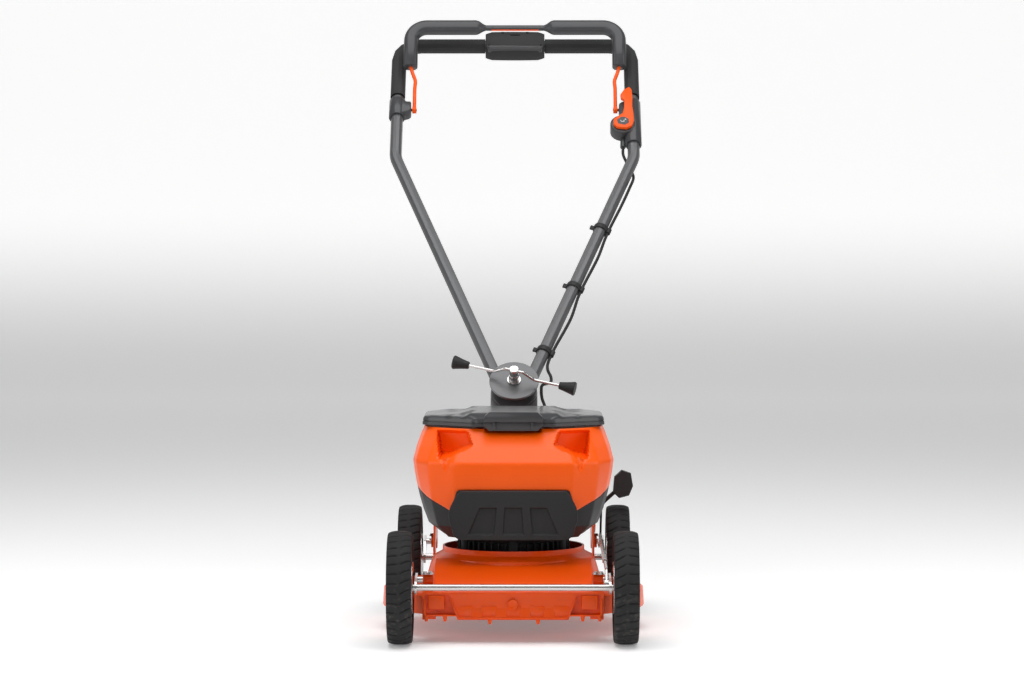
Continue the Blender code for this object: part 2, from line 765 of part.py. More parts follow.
def make_wheel(parent, end, sign, y):
    """A wheel on its stub: a ribbed tyre on a moulded rim. The pair turns about the stub."""
    hub = empty(f"{end}_{side_name(sign)}_wheel", parent, (sign * WHEEL_X, y, WHEEL_RADIUS), (0, math.radians(90), 0))
    half = WHEEL_WIDTH / 2
    tread = [
        (RIM_RADIUS + FIT_GAP, -half + 0.003),
        (WHEEL_RADIUS - 0.007, -half),
        (WHEEL_RADIUS - 0.0015, -half + 0.004),
        (WHEEL_RADIUS, -half + 0.010),
        (WHEEL_RADIUS, half - 0.010),
        (WHEEL_RADIUS - 0.0015, half - 0.004),
        (WHEEL_RADIUS - 0.007, half),
        (RIM_RADIUS + FIT_GAP, half - 0.003),
    ]
    tyre = turned(f"{end}_tyre_{side_name(sign)}", tread, segments=32)
    dress(tyre, tyre_rubber(), hub)
    bore = STUB_RADIUS + FIT_GAP
    rim = turned(
        f"{end}_rim_{side_name(sign)}",
        [
            (bore, -half + 0.001),
            (HUB_RADIUS, -half + 0.001),
            (HUB_RADIUS, -0.003),
            (RIM_RADIUS - 0.005, -0.003),
            (RIM_RADIUS - 0.004, -half + 0.004),
            (RIM_RADIUS, -half + 0.004),
            (RIM_RADIUS, half - 0.004),
            (RIM_RADIUS - 0.004, half - 0.004),
            (RIM_RADIUS - 0.005, 0.003),
            (HUB_RADIUS, 0.003),
            (HUB_RADIUS, half - 0.001),
            (bore, half - 0.001),
        ],
        segments=32,
    )
    dress(rim, grey_plastic(), hub)


def make_axle(parent, end, pivot, axle_y):
    """A crank axle: a straight tube or two stubs, with a crank plate and a pivot pin at each side."""
    name = f"{end}_axle"
    z = WHEEL_RADIUS
    circles = [(pivot[0], pivot[1], CRANK_BOSS_RADIUS), (axle_y, z, CRANK_BOSS_RADIUS)]
    eye = pivot + LINK_EYE
    outline = plate_outline(*circles, (eye[0], eye[1], 0.009))
    axle = cylinder(name, STUB_RADIUS, -WHEEL_X - WHEEL_WIDTH / 2 + 0.002, WHEEL_X + WHEEL_WIDTH / 2 - 0.002, (0, axle_y, z), "X", 20)
    dress(axle, bright_steel(), parent)
    pieces = []
    for sign in (1, -1):
        side = side_name(sign)
        low, high = sorted((sign * CRANK_X, sign * (CRANK_X + CRANK_PLATE)))
        pieces.append(prism(f"{name}_crank_{side}", outline, low, high))
        inner = 0.1433 if end == "front" else 0.1530
        low, high = sorted((sign * inner, sign * (CRANK_X + CRANK_PLATE / 2)))
        pieces.append(cylinder(f"{name}_pin_{side}", PIVOT_PIN_RADIUS, low, high, (0, *pivot), "X", 20))
    pieces.append(cylinder(f"{name}_eye_pin", LINK_PIN_RADIUS, LINK_X - 0.004, CRANK_X + 0.002, (0, *eye), "X", 12))
    union(axle, *pieces)


def make_link_rod(chassis):
    """The rod that makes both axles swing together. It rises over the front pivot pin."""
    front, rear = FRONT_PIVOT + LINK_EYE, REAR_PIVOT + LINK_EYE
    rise = 0.022
    corners = [
        (LINK_X, *front),
        (LINK_X, front[0] + 0.017, front[1] + rise),
        (LINK_X, rear[0] - 0.017, rear[1] + rise),
        (LINK_X, *rear),
    ]
    link = as_mesh(rod("link_rod", rounded_path(corners, 0.008, 3), LINK_ROD_RADIUS, 1))
    dress(link, bright_steel(), chassis)
    first, last = Vector(corners[1]), Vector(corners[2])
    sleeve = as_mesh(rod("link_sleeve", [first.lerp(last, 0.22), first.lerp(last, 0.80)], LINK_SLEEVE_RADIUS, 2))
    eyes = []
    for end, place in (("front", front), ("rear", rear)):
        eyes.append(cylinder(f"link_eye_{end}", 0.0062, LINK_X - 0.0032, LINK_X + 0.0032, (0, *place), "X", 16))
    union(link, sleeve, *eyes)
    for end, place in (("front", front), ("rear", rear)):
        cut(link, cylinder(f"link_hole_{end}", LINK_PIN_RADIUS + RUN_GAP, LINK_X - 0.01, LINK_X + 0.01, (0, *place), "X", 12))


def make_height_lever(chassis):
    """The hand lever on the rear crank axle, its knob, and the notched quadrant beside it."""
    y, z = REAR_PIVOT
    back = CRANK_X - FIT_GAP
    lever = prism(
        "height_lever", plate_outline((y, z, CRANK_BOSS_RADIUS), (y - 0.028, z + 0.042, 0.009), points=12), back - 0.0037, back
    )
    dress(lever, black_plastic(), chassis)
    outline = plate_outline((y - 0.028, z + 0.042, 0.009), (y - 0.084, z + 0.082, 0.006), points=12)
    blade = prism("lever_blade", outline, back - 0.0037, back)
    middle = back - 0.0018
    reach = rounded_path([(middle, y - 0.080, z + 0.079), (middle + 0.008, y - 0.088, z + 0.088), (back + 0.0371, y - 0.098, z + 0.117)], 0.006, 3)
    arm = as_mesh(rod("lever_arm", reach, 0.0040, 2))
    union(lever, blade, arm)
    cut(lever, cylinder("lever_bore", PIVOT_PIN_RADIUS + FIT_GAP, back - 0.02, back + 0.02, (0, y, z), "X", 20))
    shape = [(0.0196, 0.104), (0.0311, 0.093), (0.0501, 0.098), (0.0576, 0.116), (0.0536, 0.140), (0.0361, 0.146), (0.0221, 0.133)]
    outline = [(back + across, z + up) for across, up in shape]
    knob = prism("lever_knob", outline, y - 0.108, y - 0.087, "XZ")
    dress(knob, black_plastic(), chassis)
    socket = as_mesh(rod("knob_socket", [reach[-2] + (reach[-2] - reach[-1]), reach[-1] + (reach[-1] - reach[-2]) * 0.02], 0.0045, 2))
    cut(knob, socket)
    inner_radius, outer_radius = 0.050, 0.082
    arc = []
    for radius, turns in ((outer_radius, range(95, 156, 6)), (inner_radius, range(155, 94, -6))):
        for turn in turns:
            arc.append((y + radius * math.cos(math.radians(turn)), z + radius * math.sin(math.radians(turn))))
    quadrant = prism("quadrant", arc, SHELF_HALF_WIDTH - 0.0076, SHELF_HALF_WIDTH - 0.0040)
    dress(quadrant, orange_paint(), chassis, smooth=False)
    notches = []
    for step in range(6):
        turn = math.radians(102 + step * 9)
        place = (0, y + outer_radius * math.cos(turn), z + outer_radius * math.sin(turn))
        notches.append(cylinder(f"quadrant_notch_{step}", 0.0035, SHELF_HALF_WIDTH - 0.010, SHELF_HALF_WIDTH, place, "X", 8))
    cut(quadrant, *notches)


def make_rear_bracket(chassis):
    """The folded plate behind the body, which carries the rear pivots and the handle."""
    half, wall, top = 0.152, 0.004, 0.186
    side = [
        (0.150, DECK_SHOULDER_Z + 0.0045), (0.205, DECK_SHOULDER_Z + 0.0045), (0.215, 0.132), (0.285, 0.136),
        (0.303, 0.112), (0.336, 0.112), (0.336, top), (0.190, top), (0.150, 0.125),
    ]
    bracket = prism("rear_bracket", side, -half, half)
    dress(bracket, orange_paint(), chassis, smooth=False)
    cut(bracket, box("bracket_hollow", (-half + wall, 0.100, 0.060), (half - wall, 0.400, top - wall)))
    for sign in (1, -1):
        hole = cylinder(f"bracket_hole_{side_name(sign)}", PIVOT_PIN_RADIUS + 0.002, 0.140, 0.165, (0, *REAR_PIVOT), "X")
        if sign < 0:
            hole.data.transform(Matrix.Translation((-0.305, 0, 0)))
        cut(bracket, hole)
    fold = -0.050
    back_n = -(TUBE_RADIUS + FIT_GAP + DISC_THICKNESS + FIT_GAP)
    thick = 0.005
    tilt = HANDLE_TILT
    plate_radius = 0.045

    def along(t, n):
        return (
            SWIVEL_Y + t * math.cos(tilt) - n * math.sin(tilt),
            SWIVEL_Z + t * math.sin(tilt) + n * math.cos(tilt),
        )

    fold_front, fold_back = along(fold, back_n), along(fold, back_n - thick)
    foot_z = top + FIT_GAP
    outline = [
        along(0.0, back_n), fold_front, (fold_front[0], foot_z + 0.005), (fold_front[0] - 0.050, foot_z + 0.005),
        (fold_front[0] - 0.050, foot_z), (fold_front[0] + thick, foot_z), (fold_front[0] + thick, fold_back[1]),
        along(0.0, back_n - thick),
    ]
    plate = prism("swivel_plate", outline, -plate_radius, plate_radius)
    dress(plate, coated_tube(), chassis, smooth=False)
    head = cylinder("plate_head", plate_radius, back_n - thick, back_n, (0, 0, 0), "Z", 32)
    place = Matrix.Translation((0, SWIVEL_Y, SWIVEL_Z)) @ Matrix.Rotation(tilt, 4, "X")
    head.data.transform(place)
    ribs = []
    for sign in (1, -1):
        low, high = sorted((sign * 0.040, sign * 0.0445))
        rib = [
            (fold_front[0] + 0.001, foot_z + 0.001), (fold_front[0] + 0.001, fold_front[1] - 0.030),
            (fold_front[0] - 0.048, foot_z + 0.001),
        ]
        ribs.append(prism(f"plate_rib_{side_name(sign)}", rib, low, high))
    union(plate, head, *ribs)
    hole = cylinder("plate_hole", 0.0065, back_n - 0.02, back_n + 0.02, (0, 0, 0))
    hole.data.transform(place)
    cut(plate, hole)


# ---------------------------------------------------------------- handle


def tube_line(t):
    """How far the lower tube's axis stands from the middle at a length along the handle."""
    return TUBE_START_X + (GRIP_X - TUBE_START_X) * (t - TUBE_START) / (TUBE_BEND - TUBE_START)


def make_swivel(handle):
    """The yoke of two discs that hold the tubes between them and turn on the swivel plate."""
    inner, outer = TUBE_RADIUS + FIT_GAP, TUBE_RADIUS + FIT_GAP + DISC_THICKNESS
    yoke = cylinder("swivel_yoke", DISC_RADIUS, inner, outer, (0, 0, 0), "Z", 40)
    dress(yoke, coated_tube(), handle)
    rear_disc = cylinder("yoke_rear_disc", DISC_RADIUS - 0.003, -outer, -inner, (0, 0, 0), "Z", 40)
    core = cylinder("yoke_core", 0.014, -outer + 0.001, outer - 0.001, (0, 0, 0), "Z", 20)
    union(yoke, rear_disc, core)
    cut(yoke, cylinder("yoke_bore", 0.0065, -0.05, 0.05, (0, 0, 0), "Z", 20))


def make_tubes(handle):
    """Two bent lower tubes, the bar that joins them at the top, and a grip round each half of it."""
    for sign in (1, -1):
        side = side_name(sign)
        path = rounded_path(
            [(sign * TUBE_START_X, TUBE_START, 0), (sign * GRIP_X, TUBE_BEND, 0), (sign * GRIP_X, TUBE_JOINT, 0)], 0.080, 4
        )
        dress(rod(f"tube_{side}", path, TUBE_RADIUS, 4, TUBE_WALL), coated_tube(), handle, smooth=False)
    corners = [
        (-GRIP_X, TUBE_JOINT + FIT_GAP, 0), (-GRIP_X, HANDLE_TOP, 0), (GRIP_X, HANDLE_TOP, 0),
        (GRIP_X, TUBE_JOINT + FIT_GAP, 0),
    ]
    bar = rod("upper_bar", rounded_path(corners, CORNER_RADIUS, 4), TUBE_RADIUS, 4, TUBE_WALL)
    dress(bar, coated_tube(), handle, smooth=False)
    for sign in (1, -1):
        corners = [
            (sign * GRIP_X, GRIP_START, 0), (sign * GRIP_X, HANDLE_TOP, 0),
            (sign * (PANEL_HALF_WIDTH + FIT_GAP), HANDLE_TOP, 0),
        ]
        wall = GRIP_RADIUS - TUBE_RADIUS - FIT_GAP
        grip = rod(f"grip_{side_name(sign)}", rounded_path(corners, CORNER_RADIUS, 4), GRIP_RADIUS, 4, wall)
        dress(grip, grip_rubber(), handle, smooth=False)


def make_panel(handle):
    """The control panel round the middle of the top bar, with its start button."""
    outline = [
        (HANDLE_TOP - 0.030, -0.014), (HANDLE_TOP - 0.022, -0.019), (HANDLE_TOP + 0.026, -0.019), (HANDLE_TOP + 0.033, -0.012),
        (HANDLE_TOP + 0.033, 0.012), (HANDLE_TOP + 0.024, 0.021), (HANDLE_TOP - 0.020, 0.021), (HANDLE_TOP - 0.030, 0.014),
    ]
    panel = prism("control_panel", outline, -PANEL_HALF_WIDTH, PANEL_HALF_WIDTH)
    dress(panel, grey_plastic(), handle)
    soften(panel, 0.003, 2)
    cut(panel, cylinder("panel_bore", TUBE_RADIUS + RUN_GAP, -0.1, 0.1, (0, HANDLE_TOP, 0), "X", 24))
    well = box("button_well", (-0.0115, HANDLE_TOP + 0.004, 0.0175), (0.0115, HANDLE_TOP + 0.0160, 0.030))
    cut(panel, well)
    button = box("start_button", (-0.0110, HANDLE_TOP + 0.0045, 0.0205), (0.0110, HANDLE_TOP + 0.0155, 0.0240))
    dress(button, orange_plastic(), handle, smooth=False)


def make_pods(handle):
    """The joint housing on the right tube, and on the left one the pod with its thumb lever."""
    housing = prism(
        "joint_housing",
        [(-0.2590, -0.017), (-0.2590, 0.017), (-0.2160, 0.017), (-0.2160, -0.017)],
        HANDLE_TOP - 0.222, HANDLE_TOP - 0.172, "XZ",
    )
    dress(housing, black_plastic(), handle)
    soften(housing, 0.004, 1)
    pod = prism(
        "switch_pod",
        [
            (0.2590, -0.017), (0.2590, 0.014), (0.2540, 0.018), (0.2160, 0.018), (0.2160, -0.017),
        ],
        POD_LOW, HANDLE_TOP - 0.177, "XZ",
    )
    dress(pod, black_plastic(), handle)
    soften(pod, 0.003, 1)
    wing = cylinder("pod_wing", 0.026, -0.010, 0.018, (0.2235, WING_CENTRE, 0), "Z", 28)
    union(pod, wing)
    for name, sign, body in (("housing", -1, housing), ("pod", 1, pod)):
        low, high = sorted((sign * (BAIL_ARM_X - 0.0055), sign * 0.2180))
        pin = cylinder(f"{name}_pin", 0.003, low, high, (0, BAIL_PIVOT, 0), "X", 12)
        union(body, pin)
        bore = cylinder(f"{name}_bore", TUBE_RADIUS + RUN_GAP, POD_LOW - 0.068, HANDLE_TOP - 0.122, (sign * GRIP_X, 0, 0), "Y", 24)
        cut(body, bore)
    lever = cylinder("thumb_lever", 0.0185, 0.0183, 0.0265, (0.2235, WING_CENTRE, 0), "Z", 28)
    dress(lever, orange_plastic(), handle)
    arm_outline = [(0.2165, 0.010), (0.2390, 0.008), (0.2520, 0.084), (0.2440, 0.096), (0.2320, 0.084)]
    arm = prism("thumb_arm", [(x, WING_CENTRE + t) for x, t in arm_outline], 0.0187, 0.0262, "XY")
    union(lever, arm)


def make_bail(handle):
    """The bail: a bent rod on two pivots, with a moulded cover round each half."""
    bail = empty("bail", handle, (0, BAIL_PIVOT, 0), (BAIL_RELEASED, 0, 0))
    path = rounded_path(
        [
            (-BAIL_ARM_X, 0.004, 0), (-BAIL_ARM_X, 0.070, 0), (-BAIL_COVER_X, 0.095, 0), (-BAIL_COVER_X, BAIL_REACH, 0),
            (BAIL_COVER_X, BAIL_REACH, 0), (BAIL_COVER_X, 0.095, 0), (BAIL_ARM_X, 0.070, 0), (BAIL_ARM_X, 0.004, 0),
        ],
        0.018, 4,
    )
    frame = as_mesh(rod("bail_frame", path, BAIL_ROD_RADIUS, 1))
    dress(frame, orange_plastic(), bail)
    eyes, holes = [], []
    for sign in (1, -1):
        side = side_name(sign)
        low, high = sorted((sign * (BAIL_ARM_X - 0.0045), sign * (BAIL_ARM_X + 0.0045)))
        eyes.append(cylinder(f"bail_eye_{side}", 0.0072, low, high, (0, 0, 0), "X", 16))
        holes.append(cylinder(f"bail_hole_{side}", 0.003 + RUN_GAP, low - 0.01, high + 0.01, (0, 0, 0), "X", 12))
    union(frame, *eyes)
    cut(frame, *holes)
    for sign in (1, -1):
        corners = [
            (sign * BAIL_COVER_X, BAIL_COVER_START, 0), (sign * BAIL_COVER_X, BAIL_REACH, 0),
            (sign * BAIL_COVER_END_X, BAIL_REACH, 0),
        ]
        cover = rod(
            f"bail_cover_{side_name(sign)}", rounded_path(corners, 0.018, 4), BAIL_COVER_RADIUS, 1,
            BAIL_COVER_RADIUS - BAIL_ROD_RADIUS - FIT_GAP,
        )
        dress(cover, grey_plastic(), bail, smooth=False)


def make_clamp_bar(swivel):
    """The clamp bolt through the swivel, its cross bar, and a knob on each end of the bar."""
    back = -(TUBE_RADIUS + 2 * FIT_GAP + DISC_THICKNESS + 0.005)
    face = TUBE_RADIUS + FIT_GAP + DISC_THICKNESS + FIT_GAP
    bar_n = face + 0.0275
    bolt = turned(
        "clamp_bolt",
        [
            (0.0, back - 0.010), (0.010, back - 0.010), (0.010, back - FIT_GAP), (0.006, back - FIT_GAP), (0.006, face),
            (0.013, face), (0.013, face + 0.004), (0.0115, face + 0.004), (0.0115, face + 0.016), (0.009, face + 0.017),
            (0.009, bar_n + 0.006), (0.0, bar_n + 0.006),
        ],
        segments=18, closed=False,
    )
    screw = empty("clamp_screw", swivel, (0, 0, 0), (0, 0, CLAMP_BAR_ANGLE))
    dress(bolt, bright_steel(), screw)
    half, drop = CLAMP_BAR_HALF, CLAMP_BAR_RISE
    corners = [
        (-half, 0, bar_n - drop), (-half * 0.42, 0, bar_n - drop), (-half * 0.20, 0, bar_n), (half * 0.20, 0, bar_n),
        (half * 0.42, 0, bar_n - drop), (half, 0, bar_n - drop),
    ]
    bar = rod("clamp_bar", rounded_path(corners, 0.012, 3), CLAMP_BAR_RADIUS, 2)
    dress(bar, bright_steel(), screw, smooth=False)
    hole = cylinder("bolt_hole", CLAMP_BAR_RADIUS + FIT_GAP, -0.05, 0.05, (0, 0, bar_n), "X", 16)
    cut(bolt, hole)
    small, large = KNOB_RADII
    for sign in (1, -1):
        knob = turned(
            f"clamp_knob_{side_name(sign)}",
            [
                (0.0, KNOB_LENGTH), (large - 0.002, KNOB_LENGTH), (large, KNOB_LENGTH - 0.002), (small, 0.0),
                (CLAMP_BAR_RADIUS + FIT_GAP, 0.0), (CLAMP_BAR_RADIUS + FIT_GAP, 0.0063), (0.0, 0.0063),
            ],
            segments=20, closed=False,
        )
        place = Matrix.Translation((sign * (half - 0.006), 0, bar_n - drop)) @ Matrix.Rotation(sign * math.radians(90), 4, "Y")
        knob.data.transform(place)
        dress(knob, black_plastic(), screw)


def make_cable(chassis, handle):
    """The control cable down the left tube, in three clips, and its last stretch into the body's rear."""
    slope = (GRIP_X - TUBE_START_X) / (TUBE_BEND - TUBE_START)
    lean = math.hypot(1, slope)
    stand_off = (TUBE_RADIUS + CABLE_RADIUS + 0.0012) * lean

    def beside(t, bow=0.0):
        return (tube_line(t) + stand_off + bow, t, 0.0)

    def beside_clip(t):
        return beside(t + 0.012), beside(t - 0.026)

    route = [
        (0.2235, POD_LOW - 0.0005 - FIT_GAP, -0.008), (0.2240, TUBE_BEND + 0.018, -0.011),
        (0.2350, TUBE_BEND - 0.010, -TUBE_RADIUS - 0.005),
        (tube_line(TUBE_BEND - 0.044) + TUBE_RADIUS + 0.001, TUBE_BEND - 0.044, -TUBE_RADIUS),
        beside(TUBE_BEND - 0.087, 0.002), beside(TUBE_BEND - 0.142, 0.002),
        *beside_clip(CLIP_PLACES[2]), beside((CLIP_PLACES[1] + CLIP_PLACES[2]) / 2, 0.003), *beside_clip(CLIP_PLACES[1]),
        beside((CLIP_PLACES[0] + CLIP_PLACES[1]) / 2, 0.005), *beside_clip(CLIP_PLACES[0]), (0.0650, 0.042, 0.002), (0.0710, 0.018, 0.007), (0.0700, 0.003, 0.008),
        (CABLE_SPLIT_X + 5 * RUN_GAP, -0.001, 0.008),
    ]
    cable = rod("control_cable", smooth_route(route, 0.016), CABLE_RADIUS, 2)
    dress(cable, black_plastic(), handle, smooth=False)
    centre, cosine, sine = Vector((0, SWIVEL_Y, SWIVEL_Z)), math.cos(HANDLE_TILT), math.sin(HANDLE_TILT)

    def in_chassis(x, t, n):
        return centre + Vector((x, t * cosine - n * sine, t * sine + n * cosine))

    tail_route = [
        in_chassis(CABLE_SPLIT_X - 4 * RUN_GAP, -0.001, 0.008), in_chassis(0.0550, -0.003, 0.0075),
        in_chassis(0.0525, -0.012, 0.002), in_chassis(0.0540, -0.026, -0.006),
        (0.0600, 0.262, 0.385), (0.0640, 0.238, 0.350), (0.0640, 0.205, 0.336), (0.0640, 0.1785, 0.335),
        (0.0640, BODY_REAR_Y + FIT_GAP, 0.335),
    ]
    tail = rod("cable_tail", smooth_route(tail_route, 0.009), CABLE_RADIUS, 2)
    dress(tail, black_plastic(), chassis, smooth=False)
    for number, t in enumerate(CLIP_PLACES, 1):
        clip = empty(f"clip_place_{number}", handle, (tube_line(t), t, 0), (0, 0, -math.atan(slope)))
        ring = turned(
            f"cable_clip_{number}",
            [(TUBE_RADIUS + 0.004, -0.007), (TUBE_RADIUS + 0.004, 0.007), (TUBE_RADIUS + RUN_GAP, 0.007), (TUBE_RADIUS + RUN_GAP, -0.007)],
            segments=20,
        )
        ring.data.transform(Matrix.Rotation(math.radians(-90), 4, "X"))
        dress(ring, black_plastic(), clip)
        boss = cylinder(f"clip_boss_{number}", 0.0055, -0.007, 0.007, (TUBE_RADIUS + 0.0045, 0, 0), "Y", 16)
        tab = box(f"clip_tab_{number}", (-TUBE_RADIUS - 0.010, -0.0070, -0.003), (-TUBE_RADIUS - 0.003, 0.0070, 0.003))
        union(ring, boss, tab)
        bore = cylinder(f"clip_tube_bore_{number}", TUBE_RADIUS + RUN_GAP, -0.02, 0.02, (0, 0, 0), "Y", 20)
        channel = cylinder(f"clip_channel_{number}", CABLE_RADIUS + 0.0008, -0.02, 0.02, (TUBE_RADIUS + CABLE_RADIUS + 0.0012, 0, 0), "Y", 16)
        cut(ring, bore, channel)


# ---------------------------------------------------------------- whole mower


def centre_on_origin(chassis):
    """Moves the chassis along Y so that the origin is under the middle of the whole mower."""
    bpy.context.view_layer.update()
    depsgraph = bpy.context.evaluated_depsgraph_get()
    reach = []
    for obj in bpy.data.objects:
        if obj.type in {"MESH", "CURVE"} and not obj.hide_render:
            shape = obj.evaluated_get(depsgraph)
            mesh = shape.to_mesh()
            points = np.empty(len(mesh.vertices) * 3, np.float32)
            mesh.vertices.foreach_get("co", points)
            world = np.array(shape.matrix_world)
            ys = points.reshape(-1, 3) @ world[1, :3] + world[1, 3]
            reach += [float(ys.min()), float(ys.max())]
            shape.to_mesh_clear()
    chassis.location.y -= (min(reach) + max(reach)) / 2


def main():
    clear_scene()
    chassis = empty("chassis")
    make_deck(chassis)
    make_pivot_clamps(chassis)
    make_motor(chassis)
    make_blade(chassis)
    make_body(chassis)
    make_lid(chassis)
    make_power(chassis)
    make_rear_bracket(chassis)
    for end, pivot, y in (("front", FRONT_PIVOT, FRONT_AXLE_Y), ("rear", REAR_PIVOT, REAR_AXLE_Y)):
        make_axle(chassis, end, pivot, y)
        for sign in (1, -1):
            make_wheel(chassis, end, sign, y)
    make_link_rod(chassis)
    make_height_lever(chassis)
    swivel = empty("swivel", chassis, (0, SWIVEL_Y, SWIVEL_Z), (HANDLE_TILT, 0, 0))
    make_swivel(swivel)
    make_tubes(swivel)
    make_panel(swivel)
    make_pods(swivel)
    make_bail(swivel)
    make_clamp_bar(swivel)
    make_cable(chassis, swivel)
    centre_on_origin(chassis)


main()
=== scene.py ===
"""Looks of a battery push mower: finishes, moulded detail, tread, stage, light and camera."""

import json
import logging
import math
from dataclasses import dataclass, field
from enum import Enum
from typing import Iterable, Optional, Sequence, Union

import bmesh
import bpy
from mathutils import Matrix, Vector

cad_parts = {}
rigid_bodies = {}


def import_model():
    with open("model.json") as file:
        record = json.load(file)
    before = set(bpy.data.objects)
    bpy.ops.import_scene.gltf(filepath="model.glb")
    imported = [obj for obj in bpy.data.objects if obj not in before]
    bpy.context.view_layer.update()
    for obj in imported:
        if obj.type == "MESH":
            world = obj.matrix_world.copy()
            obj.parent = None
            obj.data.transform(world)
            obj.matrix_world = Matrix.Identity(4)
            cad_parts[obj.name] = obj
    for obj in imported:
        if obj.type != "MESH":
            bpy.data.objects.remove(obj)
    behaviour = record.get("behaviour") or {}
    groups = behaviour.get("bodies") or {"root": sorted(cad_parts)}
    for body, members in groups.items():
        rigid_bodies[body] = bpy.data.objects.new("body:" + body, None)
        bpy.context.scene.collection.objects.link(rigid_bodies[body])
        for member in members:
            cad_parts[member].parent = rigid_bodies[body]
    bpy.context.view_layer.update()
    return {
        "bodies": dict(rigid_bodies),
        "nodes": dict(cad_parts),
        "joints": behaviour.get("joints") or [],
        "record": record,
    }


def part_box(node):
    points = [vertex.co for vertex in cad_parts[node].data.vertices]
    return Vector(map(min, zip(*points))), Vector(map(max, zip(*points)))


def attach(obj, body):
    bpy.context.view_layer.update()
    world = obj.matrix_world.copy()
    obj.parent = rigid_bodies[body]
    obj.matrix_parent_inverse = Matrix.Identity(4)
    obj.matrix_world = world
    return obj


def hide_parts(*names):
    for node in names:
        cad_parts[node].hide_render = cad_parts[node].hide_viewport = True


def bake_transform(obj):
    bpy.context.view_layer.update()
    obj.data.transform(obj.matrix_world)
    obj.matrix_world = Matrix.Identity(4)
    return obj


LOG = logging.getLogger("mower")

Colour = tuple[float, float, float]
Point = tuple[float, float, float]
Value = Union["Signal", float]


class Side(Enum):
    """The mower's two sides, and which way each lies along X."""

    LEFT = 1
    RIGHT = -1

    @property
    def word(self) -> str:
        """The side's name as nodes spell it."""
        return self.name.lower()


class End(Enum):
    """The mower's two ends, as wheel nodes spell them."""

    FRONT = "front"
    REAR = "rear"


class Plane(Enum):
    """The plane that an outline is drawn in."""

    XZ = "xz"
    YZ = "yz"
    XY = "xy"


# ---------------------------------------------------------------- shader arithmetic


class Signal:
    """A number coming out of a shader node, with arithmetic."""

    def __init__(self, book: "NodeBook", socket: bpy.types.NodeSocket) -> None:
        """Wraps a socket of the material that a book writes."""
        self.book = book
        self.socket = socket

    def _join(self, operation: str, first: Value, second: Value) -> "Signal":
        """Adds one Math node for two values."""
        return self.book.node("ShaderNodeMath", {"operation": operation}, {0: first, 1: second})

    def __add__(self, other: Value) -> "Signal":
        """Adds."""
        return self._join("ADD", self, other)

    __radd__ = __add__

    def __sub__(self, other: Value) -> "Signal":
        """Takes away."""
        return self._join("SUBTRACT", self, other)

    def __rsub__(self, other: Value) -> "Signal":
        """Takes this away from a number."""
        return self._join("SUBTRACT", other, self)

    def __mul__(self, other: Value) -> "Signal":
        """Multiplies."""
        return self._join("MULTIPLY", self, other)

    __rmul__ = __mul__

    def __gt__(self, other: Value) -> "Signal":
        """Gives 1 where this is greater."""
        return self._join("GREATER_THAN", self, other)

    def abs(self) -> "Signal":
        """Drops the sign."""
        return self.book.node("ShaderNodeMath", {"operation": "ABSOLUTE"}, {0: self})

    def band(self, low: float, high: float) -> "Signal":
        """Rises smoothly from 0 at low to 1 at high."""
        settings = {"interpolation_type": "SMOOTHSTEP"}
        return self.book.node("ShaderNodeMapRange", settings,
                              {"Value": self, "From Min": low, "From Max": high})


